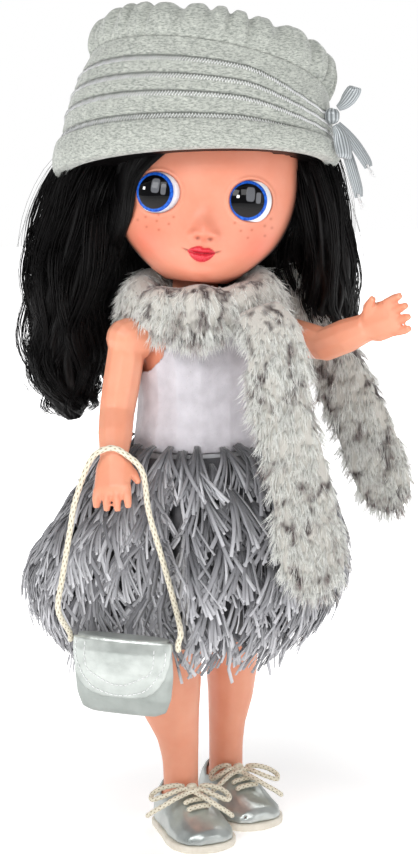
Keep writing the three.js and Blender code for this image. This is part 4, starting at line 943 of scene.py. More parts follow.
def eyes():
    for word, side in SIDE.items():
        middle = eye_centre(word)
        outward_aim = Vector((EYE_OUTWARD * side, -1, 0))
        ball = dish(f"{word}_white", middle, outward_aim, EYEBALL_R, 4, math.radians(50), EYE_WHITE)
        wear(ball, "head", f"{word}_eyeball", slot="eye_white")
        aim = turned(GAZE_TURN, "Z") @ outward_aim.normalized()
        front, back = EYEBALL_R + GLASS_PROUD, EYEBALL_R + GLASS_BACK
        glass = dish(f"{word}_glass", middle, aim, front, back, IRIS_HALF, IRIS, uv=True)
        wear(glass, "head", f"{word}_iris", slot="iris")


eyes()


# Hair
def hair_finish():
    hair = Finish("dark_hair", Roughness=0.34, Specular_IOR_Level=0.16)
    streak = hair.noise(0.45, 2, stretch=(1, 1, 0.12))
    hair.set("Base Color", hair.ramp(streak, (0.3, "#020202"), (0.75, "#100D0E")))
    hair.bump(hair.noise(0.3, 2, stretch=(1, 1, 0.08)), 0.12)
    return hair.material


HAIR = hair_finish()
RIGHT_LOCK = stations(
    (-42, -3, 317, 11, 18), (-50, -3, 300, 19, 23), (-56, -3, 279, 21.5, 23),
    (-60, -4, 258, 21, 22), (-62.5, -6, 240, 20, 20), (-63, -7, 223, 18, 17),
    (-61, -7, 208, 15, 15), (-60, -7, 200, 10, 10), (-59, -7, 194, 4, 4),
)
LEFT_LOCK = stations(
    (44, -8, 318, 11, 18), (50, -9, 302, 12, 21), (54, -12, 284, 12.5, 21),
    (57, -20, 264, 13.5, 18), (58, -32, 248, 13.5, 16), (60, -40, 232, 13.5, 13),
    (58, -42, 216, 11, 11), (56, -42, 206, 6, 6),
)
LEFT_INNER = stations(
    (39, -10, 316, 8, 10), (38, -12, 300, 10, 11), (36, -14, 284, 13, 11), (35, -18, 270, 14, 9),
    (40, -30, 256, 14, 9), (46, -38, 244, 9, 8),
)
BACK_FALL = stations(
    (-3, -38, 309, 44, 17), (-4, -43, 297, 49, 17), (-6, -45, 280, 51, 17), (-8, -46, 258, 52, 17),
    (-8, -46, 236, 51, 15), (-8, -45, 214, 47, 13), (-8, -44, 202, 38, 9),
)


def locks_of_hair(stops, clumps, each, waves, wave_size, steps=24):
    """Strands in wavy clumps that run down just inside a lock's outline."""
    around = 64
    rings = limb_rings(stops, ACROSS, around=around, per=8)
    middles = rings.mean(1)
    fall = np.linspace(0, 1, steps)
    lines = np.zeros((clumps * each, steps, 3))
    wide = np.linalg.norm(rings[len(rings) // 2, 0] - middles[len(rings) // 2])
    for c in range(clumps):
        turn = (c + rng.uniform(-0.3, 0.3)) / clumps * around
        drift = rng.normal(0, 2.5)
        depth = rng.uniform(0.62, 0.93)
        length = rng.uniform(0.86, 1.0) if c % 4 else rng.uniform(0.6, 0.85)
        phase = rng.uniform(0, 2 * math.pi)
        tilt = rng.uniform(0, 2 * math.pi)
        along = fall * length * (len(rings) - 1)
        turns = (turn + drift * fall**1.5) % around
        low = np.clip(along.astype(int), 0, len(rings) - 2)
        part = (along - low)[:, None]
        left = np.floor(turns).astype(int) % around
        mix = (turns - np.floor(turns))[:, None]
        right = (left + 1) % around
        here, there = (rings[row, left] * (1 - mix) + rings[row, right] * mix for row in (low, low + 1))
        edge = here * (1 - part) + there * part
        middle = middles[low] * (1 - part) + middles[low + 1] * part
        guide = middle + (edge - middle) * depth
        sway = 2 * math.pi * waves * length * fall**1.15 + phase
        size = wave_size * (0.25 + 0.95 * fall)
        guide = guide + ACROSS_ROW * (np.sin(sway) * size)[:, None]
        guide = guide + TOWARDS_ROW * (np.cos(sway + 0.6) * size * 0.8)[:, None]
        for n in range(each):
            spin = rng.uniform(0, 2 * math.pi)
            thick = math.sqrt(rng.uniform(0.02, 1)) * min(wide * 0.2, 3.6)
            thin = thick * (1.15 - 0.75 * fall**1.6)
            twist = spin + tilt + 1.6 * fall * (1 if c % 2 else -1)
            off = ACROSS_ROW * (np.cos(twist) * thin)[:, None]
            off = off + TOWARDS_ROW * (np.sin(twist) * thin)[:, None]
            stray = rng.normal(0, 0.5, 3) * fall[:, None] ** 2
            cut = rng.uniform(0.93, 1.0)
            lines[c * each + n] = between(fall * cut * (steps - 1), np.arange(steps), guide + off + stray)
    return lines


STRAY_HAIR_R = 0.09
COMBED_HAIR_R = 0.3


def hair_strands(name, lines, radius):
    wear(strands(name, lines, radius, HAIR), "head", slot="hair")


def hair_lock(word, node, stops, clumps, each, waves, wave_size, core=0.74):
    """A ridged body of hair with strands over it."""
    rings = limb_rings([(m, wide * core, thick * core) for m, wide, thick in stops], ACROSS, 72, 10)
    fall, turn = way_and_turn(rings)
    ridges = 1 + 0.07 * np.sin(9 * turn + 5 * np.sin(7 * fall)) + 0.04 * np.sin(17 * turn - 9 * fall)
    body = mesh_piece(f"{word}_hair_body", *lofted(swollen(rings, ridges)), HAIR)
    wear(outward(body), "head", node, slot="hair")
    lines = locks_of_hair(stops, clumps, each, waves, wave_size)
    hair_strands(f"{word}_hair_strands", lines, rng.uniform(0.17, 0.3, len(lines)))


def on_face(x, z, proud):
    """A place on the plain head in front, in the head's frame."""
    wide, front, _ = head_outline(np.array([z]))
    share = min(abs(x) / wide[0], 0.999) ** HEAD_POWER
    return (x, -HEAD_FORWARD - front[0] * (1 - share) ** (1 / HEAD_POWER) - proud, z)


FRINGE_OUTER = [
    (-26, 86), (-30, 82), (-34, 76), (-38, 69), (-40, 62), (-41, 55), (-41.3, 48),
    (-41.3, 41), (-41, 33), (-40, 25), (-40, 16), (-41, 4),
]


def fringe(count=560, steps=20):
    """The swept front hair: from under the cap, past the doll's right eye, into the lock."""
    first = np.array([on_face(x, z, 0.7) for x, z in FRINGE_EDGE])
    last = np.array([on_face(x, z, 2.5) for x, z in FRINGE_OUTER])
    last[-3:, 0] -= (1.5, 4, 7)
    first[-2:, 1] += (4, 9)
    behind = last + np.array([-2.5, 16, 0])
    lines = np.zeros((count, steps, 3))
    for i in range(count):
        share = 1.75 * rng.uniform(0, 1) ** 1.15
        if share < 1:
            guide = first * (1 - share) + last * share
        else:
            guide = last * (2 - share) + behind * (share - 1)
        guide = even_line(guide, 1.0)
        places = np.linspace(0, len(guide) - 1, steps)
        line = between(places, np.arange(len(guide)), guide)
        full = math.sin(math.pi * min(share, 1)) if share < 1 else 0.2
        clump = 0.9 + 0.9 * math.sin(17 * share)
        line[:, 1] -= np.sin(np.linspace(0, math.pi, steps)) * (2.8 * full + clump + rng.uniform(0, 1.0))
        sway = np.linspace(0, 2 * math.pi * 1.6, steps) + 5 * share + 0.3 * rng.normal()
        line[:, 0] += 0.7 * np.sin(sway) * min(share * 3, 1) + 0.12 * rng.normal()
        lines[i] = line
    hair_strands("swept_fringe", carried(lines, HEAD_FRAME), rng.uniform(0.2, 0.36, count))


def loose_hairs():
    """A few stray hairs that stand off the two locks."""
    for word, stops, waves in (("right", RIGHT_LOCK, 2.2), ("left", LEFT_LOCK, 2.0)):
        wide = [(m, w * 1.14, t * 1.1) for m, w, t in stops]
        lines = locks_of_hair(wide, 30, 2, waves, 2.6)
        hair_strands(f"{word}_stray_hairs", lines, np.full(len(lines), STRAY_HAIR_R))


def combed_over(surface, count=420, steps=14):
    """Strands from the top of the head, over the hair under the cap, down to the brim."""
    tree = surface_of(surface)
    middle = seen(-3, 4, 312)
    lines = []
    for n in range(count):
        turn = 2 * math.pi * n / count + rng.uniform(-0.01, 0.01)
        line = []
        for s in np.linspace(0, 1, steps):
            up = math.radians(84 - 88 * s)
            around = turn + 0.5 * s + 0.05 * math.sin(9 * s + n)
            level = ACROSS * math.cos(around) + TOWARDS * math.sin(around)
            way = level * math.cos(up) + UP * math.sin(up)
            hit = tree.ray_cast(middle + way * 120, -way)[0]
            if hit is not None:
                line.append(hit + way * (0.1 + 0.2 * math.sin(2.6 * n)))
        if len(line) == steps:
            lines.append(np.array(line))
    hair_strands("hair_combed_over", lines, np.full(len(lines), COMBED_HAIR_R))


def hair():
    hair_lock("right", "hair_right", RIGHT_LOCK, 36, 24, 2.9, 3.4)
    hair_lock("left", "hair_left", LEFT_LOCK, 32, 20, 2.6, 2.4, core=0.86)
    hair_lock("back", "hair_back", BACK_FALL, 44, 15, 2.7, 3.2, core=0.9)
    lines = locks_of_hair(LEFT_INNER, 16, 20, 1.6, 1.2)
    hair_strands("left_inner_hair", lines, rng.uniform(0.2, 0.34, len(lines)))
    under = moulded("hair_under_cap", "hair_crown", HAIR, voxel=1.8, rounds=3)
    wear(under, "head", "hair_crown", slot="hair")
    combed_over(under)
    fringe()
    loose_hairs()


hair()


# Cap
CAP_CENTRE = seen(-3, 4, 308)
CAP_WIDTH = 120
CAP_TOP_WIDTH = 105
CAP_LEAN = 6
CAP_CLOTH = 3
CAP_RISE = 38.5
BRIM_SLANT, CROWN_SLANT = 14.6, 24
CAP_FRONT, CAP_BACK = 0.76, 0.96
BRIM_SIDE, CROWN_SIDE = -2.3, 10
SEAMS = (0.12, 0.3, 0.5, 0.66, 0.82)
BAND_POINTS = 300
SEAM_POINTS = 560
SEAM_THREAD_R = 0.33
FRILL_POINTS = 440
DOME_POINTS = 120


def velour_finish(name, light, dark):
    """A short heathered pile, with painted shade in its stitched grooves."""
    cloth = Finish(name, Roughness=0.9, Sheen_Weight=0.35, Sheen_Roughness=0.5)
    heather = cloth.noise(0.85, 4, stretch=(0.5, 0.5, 1.6), roughness=0.7)
    tone = cloth.ramp(heather, (0.36, dark), (0.62, light))
    tone = cloth.mix(cloth.ramp(cloth.noise(4.5, 3), (0.45, 0.18), (0.65, 0.0)), tone, "#6E726D")
    tone = cloth.mix(cloth.ramp(cloth.noise(0.28, 2), (0.62, 0.0), (0.74, 0.5)), tone, "#D3D6D0")
    # Painted shade in the stitched grooves between the padded rows.
    groove = cloth.attribute("groove")
    tone = cloth.mix(cloth.times(groove, 0.8), tone, "#3E423E")
    cloth.set("Base Color", tone)
    cloth.bump(cloth.noise(0.35, 3), 0.16)
    cloth.bump(cloth.noise(3.2, 2), 0.45)
    return cloth.material


VELOUR = velour_finish("heathered_velour", "#C1C4BC", "#7B807A")


SILVER_THREAD = mottled(
    "silver_thread",
    (0.25, 2),
    (0.35, "#DCDEDF"),
    (0.65, "#FFFFFF"),
    grain=(0.15, 0.05),
    Roughness=0.4,
    Metallic=0.1,
)


def cap_lean(share):
    """The band's slant, from the brim's to the crown's."""
    front = BRIM_SLANT + (CROWN_SLANT - BRIM_SLANT) * share
    side = BRIM_SIDE + (CROWN_SIDE - BRIM_SIDE) * share
    sideways = Matrix.Rotation(math.radians(-side), 3, TOWARDS)
    return np.array(sideways @ Matrix.Rotation(math.radians(-front), 3, ACROSS))


def cap_points(share, grow, turn):
    """Places on the band at a share of its rise and at turns from the picture's right."""
    within = min(max(share, 0), 1)
    half = CAP_WIDTH + (CAP_TOP_WIDTH - CAP_WIDTH) * within**2
    half = half / 2 + grow
    middle = CAP_CENTRE + UP * (CAP_RISE * share) - TOWARDS * (4 * within) + ACROSS * (CAP_LEAN * within**2)
    flat = np.cos(turn)[:, None] * half[:, None] * ACROSS_ROW
    deep = np.where(np.sin(turn) > 0, CAP_FRONT, CAP_BACK)
    flat = flat + (deep * np.sin(turn))[:, None] * half[:, None] * TOWARDS_ROW
    return flat @ cap_lean(within).T + np.array(middle)


def seam_share(seam, turn):
    """The rows draw together towards the bow."""
    return seam * (1 - 0.24 * step(0.25, 1.0, np.cos(turn)))


def band_puff(share, turn):
    """The padded rows swell between their stitched grooves."""
    away = np.full(turn.shape, 9.0)
    for seam in SEAMS:
        away = np.minimum(away, np.abs(share - seam_share(seam, turn)) * CAP_RISE)
    pucker = 0.22 * np.sin(46 * turn + 3 * np.sin(5 * turn)) * np.exp(-((away / 2.6) ** 2))
    return 0.8 * (1 - np.exp(-((away / 0.7) ** 2))) + pucker - 0.4


def closed_round(rows, name, material):
    """A ring-shaped cloth: rows go once round its section."""
    points, faces = lofted(rows, closed_ends=False)
    around = len(rows[0])
    last = (len(rows) - 1) * around
    faces += [[last + k, last + (k + 1) % around, (k + 1) % around, k] for k in range(around)]
    return outward(mesh_piece(name, points, faces, material))


def cap_band():
    """The padded rows, with a silver seam in each groove between them."""
    turn = full_turn(BAND_POINTS)
    shares = np.linspace(0, 1, 104)
    lining = np.full(BAND_POINTS, -CAP_CLOTH + 0.2)
    lining_shares = np.linspace(1, 0, 8)
    rows = [cap_points(s, band_puff(s, turn), turn) for s in shares]
    rows += [cap_points(s, lining, turn) for s in lining_shares]
    band = closed_round(rows, "cap_rows", VELOUR)
    seams = np.array([seam_share(seam, turn) for seam in SEAMS])
    depth = np.abs(shares[:, None, None] - seams).min(1)
    # How near each row lies to a stitched groove, for the painted shade there.
    groove = np.exp(-((depth * CAP_RISE / 0.42) ** 2))
    keep_values(band, "groove", np.append(groove, np.zeros(len(lining_shares) * BAND_POINTS)))
    wear(band, "cap", "cap_band", slot="velour")
    for n, seam in enumerate(SEAMS):
        line = []
        for i, t in enumerate(full_turn(SEAM_POINTS)):
            at = np.array([t])
            share = float(seam_share(seam, at)[0]) - 0.028 + (0.02 if i % 2 else -0.02)
            line.append(cap_points(share, band_puff(share, at) + 0.35, at)[0])
        rings = tube_rings(line, SEAM_THREAD_R, 5)
        wear(closed_round(rings, f"cap_seam_{n + 1}", SILVER_THREAD), "cap", slot="velour")


def crown_rows(seat_grow, rows, turn):
    """Rows round the crown's edge: scaled about its middle, lifted square to it."""
    seat = cap_points(1, np.full(turn.shape, seat_grow), turn)
    middle = seat.mean(0)
    up = cap_lean(1) @ np.array([0, 0, 1])
    column = (-1, 1)
    return [middle + (seat - middle) * np.reshape(s, column) + up * np.reshape(h, column) for s, h in rows]


def cap_crown():
    """The domed top: an outer skin and, below it, an inner one."""
    turn = full_turn(DOME_POINTS)
    profile = smooth([(1, 0.3), (1, 3), (0.97, 6), (0.88, 13), (0.6, 19.3), (0.22, 21.2), (0.01, 21.6)], 4)
    sides = []
    for seat_grow, rows, drop in ((-CAP_CLOTH - 0.3, profile, 0), (-2 * CAP_CLOTH, profile[::-1][:-3], 2.6)):
        rows = [(np.full(DOME_POINTS, s), np.full(DOME_POINTS, h - drop)) for s, h in rows]
        sides += crown_rows(seat_grow, rows, turn)
    wear(outward(mesh_piece("cap_dome", *lofted(sides), VELOUR)), "cap", "cap_crown", slot="velour")


def cap_ruffle():
    """The gathered frill round the dome, in uneven lobes with fine pleats."""
    turn = full_turn(FRILL_POINTS)
    drift = 1.1 * np.sin(3 * turn + 0.7) + 0.6 * np.sin(5 * turn)
    phase = 13 * turn + drift + 0.5 * np.sin(7 * turn + 2)
    lobes = 1 - 2 * np.abs(np.cos(phase)) ** 5
    uneven = 0.5 + 0.5 * np.sin(5 * turn + 1.3) * np.cos(3 * turn)
    pleats = np.cos(61 * turn + 2 * drift)
    profile = [
        (1.0, 0.1, 0.1, 1), (1.02, 1.2, 0.25, 1), (1.04, 3.6, 0.6, 0.8), (1.045, 7.2, 0.9, 0.6),
        (1.03, 11.4, 1, 0.5), (0.99, 14.8, 1, 0.4), (0.93, 16.6, 0.95, 0.2), (0.86, 15, 0.9, 0),
        (0.84, 7, 0.5, 0), (0.88, 2.5, 0.2, 0), (0.92, 0.5, 0, 0),
    ]
    rows = []
    for scale, lift, lobe, pleat in smooth(profile, 5):
        swell = scale + 0.022 * lobe * lobes + 0.012 * pleat * pleats
        share_up = min(max(lift, 0) / 8, 1)
        rows.append((swell, lift + (1.0 * lobes + 1.6 * uneven - 0.8) * lobe * share_up))
    piece = closed_round(crown_rows(-0.6, rows, turn), "cap_frill", VELOUR)
    wear(piece, "cap", "cap_ruffle", slot="velour")


def cap_brim():
    """The turned edge over the forehead."""
    turn = full_turn(BAND_POINTS)
    ripple = 0.35 * np.sin(7 * turn) + 0.25 * np.sin(11 * turn + 1)
    profile = [
        (0.235, 0.9), (0.245, 1.7), (0.22, 2.6), (0.16, 3.2), (0.09, 3.5), (0.03, 3.2),
        (-0.012, 2.2), (-0.024, 0.8), (-0.03, -1), (-0.028, -2.8), (-0.016, -4.0), (0.0, -3.2),
        (0.0, -1), (0.02, 0.6), (0.12, 0.6),
    ]
    rows = [cap_points(s + 0.012 * ripple.mean(), g + 0.35 * ripple, turn) for s, g in smooth(profile, 4)]
    wear(closed_round(rows, "cap_turned_edge", VELOUR), "cap", "cap_brim", slot="velour")


cap_band()
cap_crown()
cap_ruffle()
cap_brim()


# Bow on the cap
def organza_finish():
    """Silvery ribbon, with painted shade between its ribs."""
    ribbon = Finish("ribbed_organza", Roughness=0.32, Metallic=0.35, Sheen_Weight=0.3)
    # Painted shade in the hollows between the ribs, lighter on their crests.
    rib = ribbon.attribute("rib")
    tone = ribbon.ramp(rib, (0.15, "#4A5054"), (0.8, "#A4AAAD"))
    cloud = ribbon.times(ribbon.noise(0.3, 2), 0.3)
    ribbon.set("Base Color", ribbon.mix(cloud, tone, "#DDE0E2"))
    ribbon.bump(ribbon.noise(0.2, 2), 0.04)
    return ribbon.material


ORGANZA = organza_finish()
BOW = seen(55.9, 17.6, 331)
BOW_STRIPS = [
    ("bow_loop_upper", seen(65.5, 20, 343.5), 3.4, 1.9),
    ("bow_loop_lower", seen(61, 21, 313), 3.8, 2),
    ("bow_tail_long", seen(68, 17, 296), 2.6, 0.8),
    ("bow_tail_short", seen(72, 18, 309), 2.6, 0.8),
]


def ribbed(name, rings, ribs, depth):
    """Ribs along a strip, with their height kept for the finish's painted shade between them."""
    _, turn = way_and_turn(rings)
    rib = np.cos(ribs * turn) + 0 * rings[..., :1]
    piece = mesh_piece(name, *lofted(swollen(rings, 1 + depth * rib)), ORGANZA)
    keep_values(piece, "rib", np.append(0.5 + 0.5 * rib, [0.5, 0.5]))
    return outward(piece)


def frayed(name, tip, down, wide, count=46):
    """Threads that come loose at the end of a tail."""
    lines = []
    for _ in range(count):
        aside = TOWARDS * rng.uniform(-0.8, 0.8) * wide
        root = tip + aside - down * 1.5 + ACROSS * rng.uniform(-0.5, 0.5)
        bend = ACROSS * rng.normal(0, 0.8) + TOWARDS * rng.normal(0, 0.8)
        reach = rng.uniform(3, 7.5)
        lines.append([root + down * (reach * s) + bend * s**2 for s in np.linspace(0, 1, 7)])
    wear(strands(name, lines, np.full(count, 0.1), SILVER_THREAD), "cap", slot="organza")


def hat_bow():
    """The knot, two flat loops and two frayed tails."""
    lump = [(-3.5, 0.2), (-3, 0.6), (-1.6, 0.95), (0, 1), (1.6, 0.95), (3, 0.6), (3.5, 0.2)]
    stops = [(BOW + UP * h, 3.1 * w, 3.3 * w) for h, w in lump]
    knot = ribbed("bow_knot_folds", limb_rings(stops, ACROSS, 72, 4), 9, 0.06)
    wear(knot, "cap", "bow_knot", slot="organza")
    for name, tip, wide, thick in BOW_STRIPS:
        start = BOW.lerp(tip, 4.2 / (tip - BOW).length)
        middle = start.lerp(tip, 0.5) + ACROSS * 1.2
        near = start.lerp(middle, 0.45) + ACROSS * 0.6
        far = middle.lerp(tip, 0.7) + ACROSS * 0.4
        loop = "loop" in name
        stops = [
            (start, 1.4, 1.0),
            (near, wide * 0.75, thick * 0.95),
            (middle, wide, thick),
            (far, wide * 0.97, thick * 0.9),
            (tip, wide * 0.78, thick * (0.45 if loop else 0.7)),
        ]
        facing = (tip - start).cross(TOWARDS).normalized() + TOWARDS * 0.5
        strip = ribbed(f"{name}_folds", limb_rings(stops, facing, 84, 8), 16, 0.05)
        wear(strip, "cap", name, slot="organza")
        if not loop:
            frayed(f"{name}_fray", tip, (tip - middle).normalized(), wide)


hat_bow()


# Scarf
def fur_finish():
    """Pale plush with brown patches, darker at the roots."""
    fur = Finish(
        "pale_plush", Roughness=0.75, Sheen_Weight=0.9, Sheen_Roughness=0.4, Specular_IOR_Level=0.25
    )
    tip = fur.attribute("tip")
    tone = fur.ramp(tip, (0.0, "#C2BFB8"), (0.25, "#F0F1EB"), (1.0, "#FDFEFA"))
    parting = fur.maths("ABSOLUTE", fur.maths("SUBTRACT", fur.noise(13, 3, stretch=(1, 1, 0.5)), 0.5))
    patch = fur.ramp(parting, (0.01, 1.0), (0.065, 0.0))
    patch = fur.times(patch, fur.ramp(fur.noise(9, 2), (0.44, 0.0), (0.56, 1.0)))
    brown = fur.ramp(tip, (0.0, "#2E1F20"), (0.55, "#644845"), (1.0, "#BCAAA4"))
    tone = fur.mix(fur.times(patch, 0.92), tone, brown)
    fur.set("Base Color", tone)
    fur.bump(fur.noise(0.6, 3, stretch=(1, 1, 0.3)), 0.3)
    return fur.material


FUR = fur_finish()
PLUSH_HAIR_R = 0.125
PILE_STANDING = 0.62  # 0 lies flat and hangs, larger stands up


def source(piece):
    """Sets a piece at the world's origin for the node trees to copy, out of the picture."""
    piece.data.transform(Matrix.Translation(-SHIFT))
    piece.hide_render = True
    return piece


def tuft_object(name, blades=7, long=9.8, steps=4):
    """A small bunch of fine curved hairs that grows along +Z from the origin, in metres."""
    local = np.random.default_rng(11)
    lines = []
    for _ in range(blades):
        root = local.normal(0, 0.45, 2)
        lean = local.normal(0, 0.8, 2)
        reach = long * local.uniform(0.65, 1)
        s = np.linspace(0, 1, steps)[:, None]
        xy = root + lean * (s**1.6) * 1.4 + local.normal(0, 0.4, 2) * s**2
        lines.append(np.hstack([xy, s * reach]))
    piece = strands(name, lines, np.full(blades, PLUSH_HAIR_R), FUR)
    each = list(np.repeat(np.linspace(0, 1, steps)[:-1], 3)) + [1.0]
    keep_values(piece, "tip", each * blades)
    return source(piece)


def tufted_tree():
    """Bunches of hair scattered over a surface, laid between its normal and straight down."""
    tree = Growth(
        "hair_over_surface",
        "Hair",
        Surface="Geometry",
        Tuft="Object",
        Tufts_per_square_metre="Float",
        Standing="Float",
        Sowing="Int",
        Finish="Material",
    )
    given = tree.given
    inputs = {"Mesh": given["Surface"], "Density": given["Tufts per square metre"], "Seed": given["Sowing"]}
    scatter = tree.node("GeometryNodeDistributePointsOnFaces", inputs)
    inputs = {0: scatter.outputs["Normal"], "Scale": given["Standing"]}
    stand = tree.node("ShaderNodeVectorMath", inputs, operation="SCALE")
    inputs = {"Min": (-0.4, -0.4, -1.5), "Max": (0.4, 0.4, -0.7)}
    chance = tree.node("FunctionNodeRandomValue", inputs, data_type="FLOAT_VECTOR")
    inputs = {0: stand.outputs[0], 1: chance.outputs["Value"]}
    total = tree.node("ShaderNodeVectorMath", inputs, operation="ADD")
    align = tree.node("FunctionNodeAlignRotationToVector", {"Vector": total.outputs[0]}, axis="Z")
    size = tree.node("FunctionNodeRandomValue", {2: 0.7, 3: 1.15}, data_type="FLOAT")
    bunch = tree.node("GeometryNodeObjectInfo", {"Object": given["Tuft"]})
    return tree.finished(scatter.outputs["Points"], bunch.outputs["Geometry"], align, size.outputs[1])


HAIR_OVER_SURFACE = tufted_tree()


def fur_part(name, rings, node, density, tuft, closed=False):
    """A backing with two sowings of pile over it."""
    if closed:
        base = closed_round(rings, f"{name}_backing", FUR)
    else:
        base = outward(mesh_piece(f"{name}_backing", *lofted(rings), FUR))
    wear(base, "torso", node, slot="fur")
    for n in range(2):
        values = {"Tuft": tuft, "Tufts per square metre": float(density), "Standing": PILE_STANDING}
        values.update({"Sowing": 5 + n, "Finish": FUR})
        pile = grown(placed(f"{name}_pile_{n + 1}", base.data.copy()), HAIR_OVER_SURFACE, values)
        wear(pile, "torso", slot="fur")


def collar_rings():
    """The scarf's collar: a lumpy roll round the neck, lower in front."""
    rows = []
    s = full_turn(36)
    for t in full_turn(72):
        out = ACROSS_ROW * math.cos(t) + TOWARDS_ROW * math.sin(t)
        drop = 3.5 * math.sin(t) - 1.5 * math.cos(t)
        middle = np.array(seen(-1, 2, 250 - drop)) + out * 26.5
        lump = 1 + 0.09 * math.sin(4 * t + 1) + 0.06 * math.sin(9 * t)
        wide = middle + out * (8.6 * lump * np.cos(s))[:, None]
        rows.append(wide + UP_ROW * (11.2 * lump * np.sin(s))[:, None])
    return np.array(rows)


def fur_end_rings(stops):
    """An end of the scarf, thinner than its solid by the length of the pile, with soft folds."""
    thin = [(m, wide - 3.2, max(thick - 2.4, 1.2)) for m, wide, thick in stops]
    rings = limb_rings(thin, ACROSS, 40, 7)
    fall, turn = way_and_turn(rings)
    return swollen(rings, 1 + 0.06 * np.sin(3 * turn + 9 * fall) + 0.05 * np.sin(14 * fall + turn))


FRONT_END = stations(
    (24, 31, 248, 13, 6), (29, 39, 239, 15, 6), (32, 43, 226, 16, 6), (34, 42, 210, 16, 6),
    (38, 44, 192, 16, 6.5), (43, 52, 170, 16, 6.5), (46, 60, 150, 17, 6.5), (48, 64, 138, 15, 6),
    (49, 65, 131, 9, 4),
)
BACK_END = stations(
    (36, -28, 257, 12, 5), (45, -30, 250, 13, 6), (54, -29, 238, 14, 6), (60, -27, 222, 15, 6),
    (67, -25, 204, 16, 6.5), (75, -24, 186, 16, 6.5), (82, -23, 168, 16, 6),
    (86, -22, 155, 14, 5.5), (88, -22, 148, 8, 3.5),
)


def scarf():
    tuft = tuft_object("hair_tuft")
    fur_part("collar", collar_rings(), "scarf_collar", 80000, tuft, closed=True)
    fur_part("front_end", fur_end_rings(FRONT_END), "scarf_front_end", 95000, tuft)
    fur_part("back_end", fur_end_rings(BACK_END), "scarf_back_end", 92000, tuft)


scarf()


# Body
def fuller_calf(points, most=5.5):
    """The right calf's outer side, a little rounder than the faceted form."""
    near = (points[:, 2] > 45) & (points[:, 2] < 110)
    outer = -(points - points[near].mean(0)) @ ACROSS_ROW / 10
    swell = most * np.clip(outer, 0, 1) * np.exp(-(((points[:, 2] - 61) / 22) ** 2))
    return points - swell[:, None] * ACROSS_ROW


def body():
    torso = moulded("torso_vinyl", "torso_shell", SKIN, voxel=1.8, rounds=2)
    wear(torso, "torso", "torso_shell", slot="skin")
    for word in SIDE:
        arm = moulded(f"{word}_arm_vinyl", f"{word}_arm", SKIN, voxel=0.7, rounds=5)
        wear(arm, f"{word}_arm_body", f"{word}_arm", slot="skin")
        leg = moulded(f"{word}_leg_vinyl", f"{word}_leg", SKIN, voxel=1.0, rounds=20)
        if word == "right":
            reshaped(leg, fuller_calf)
        wear(leg, f"{word}_leg_body", f"{word}_leg", slot="skin")


body()


# Top
def glitter_finish():
    """White cloth with coloured flakes of fine glitter."""
    cloth = Finish("glitter_cloth", Sheen_Weight=0.3)
    tone = cloth.ramp(cloth.noise(6, 2), (0.3, "#BAB6BC"), (0.7, "#CCC8CE"))
    speck = cloth.ramp(cloth.cells(0.55), (0.13, 1.0), (0.22, 0.0))
    tint = cloth.cells(0.55, output="Color")
    flake = cloth.mix(0.65, tint, "#FFFFFF")
    cloth.set("Base Color", cloth.mix(cloth.times(speck, 0.75), tone, flake))
    cloth.set("Metallic", cloth.times(speck, 0.8))
    cloth.rough(speck, 0.6, 0.18)
    cloth.bump(cloth.noise(0.4, 2), 0.08)
    cloth.bump(speck, 0.08)
    return cloth.material


GLITTER = glitter_finish()


def top():
    """The CAD top's own cut, rubbed smooth and drawn into soft folds."""
    piece = moulded("sleeveless_top", "top", GLITTER, voxel=0.8, rounds=5)
    for vertex in piece.data.vertices:
        place = (Vector(vertex.co) - SHIFT) / MM
        out = Vector((place.x, place.y, 0)).normalized()
        around = math.atan2(place.y, place.x)
        pull = 0.5 * math.sin(4 * around - 0.16 * place.z)
        pull += 1.5 * noise.noise(Vector((place.x * 0.09, place.y * 0.09, place.z * 0.05)))
        low = max(0, 1 - abs(place.z - 186) / 22)
        vertex.co += out * (0.45 + 0.5 * pull) * (0.5 + 0.6 * low) * MM
    wear(piece, "torso", "top", slot="glitter_cloth")


top()


# Skirt
SKIRT_HEM_Z = 89
SKIRT_TOP_Z = 183.7
SKIRT_ROWS = [
    (0, 0.6), (0.08, 0.75), (0.2, 0.89), (0.36, 0.98), (0.54, 0.96), (0.72, 0.86), (0.88, 0.73), (1, 0.6),
]
SKIRT_HALF = 72
SKIRT_BACK = 11
SKIRT_SIDE = 6
BUNCH_PITCH = 9.5
RIBBON_THICK = 0.35


def yarn_finish():
    """Grey ribbon yarn, with painted shade at each bunch's knot and on the lining under it."""
    yarn = Finish("grey_ribbon_yarn", Roughness=0.55, Sheen_Weight=0.3, Specular_IOR_Level=0.35)
    shade = yarn.maths("ADD", yarn.attribute("tone"), yarn.attribute("bunch_tone"))
    tone = yarn.ramp(shade, (0.04, "#131315"), (0.32, "#515155"), (0.6, "#949498"), (0.95, "#DEDEE2"))
    knit = yarn.noise(0.32, 2, stretch=(1, 1, 0.4))
    yarn.set("Base Color", yarn.mix(yarn.times(knit, 0.3), tone, "#A9A9AF"))
    yarn.bump(knit, 0.12)
    return yarn.material


YARN = yarn_finish()


def skirt_outline(share):
    """Half width, front and back, and the middle's offsets, at a share of the skirt's height."""
    rows = np.array(SKIRT_ROWS)
    wide = np.interp(np.clip(share, 0, 1), rows[:, 0], rows[:, 1])
    deep = wide * (1 - 0.16 * share)
    low = 1 - share
    return wide * SKIRT_HALF, deep * (SKIRT_HALF - 9), deep * SKIRT_HALF, -SKIRT_SIDE * low, SKIRT_BACK * low


def skirt_place(share, turn, inset):
    """Places at a share of the skirt's height, in from its outline."""
    half, front, back, x, y = skirt_outline(share)
    c, s = np.cos(turn), np.sin(turn)
    deep = np.where(s < 0, front, back) - inset
    z = SKIRT_HEM_Z + share * (SKIRT_TOP_Z - SKIRT_HEM_Z)
    return np.stack([x + (half - inset) * c, y + deep * s, z + 0 * turn], -1)


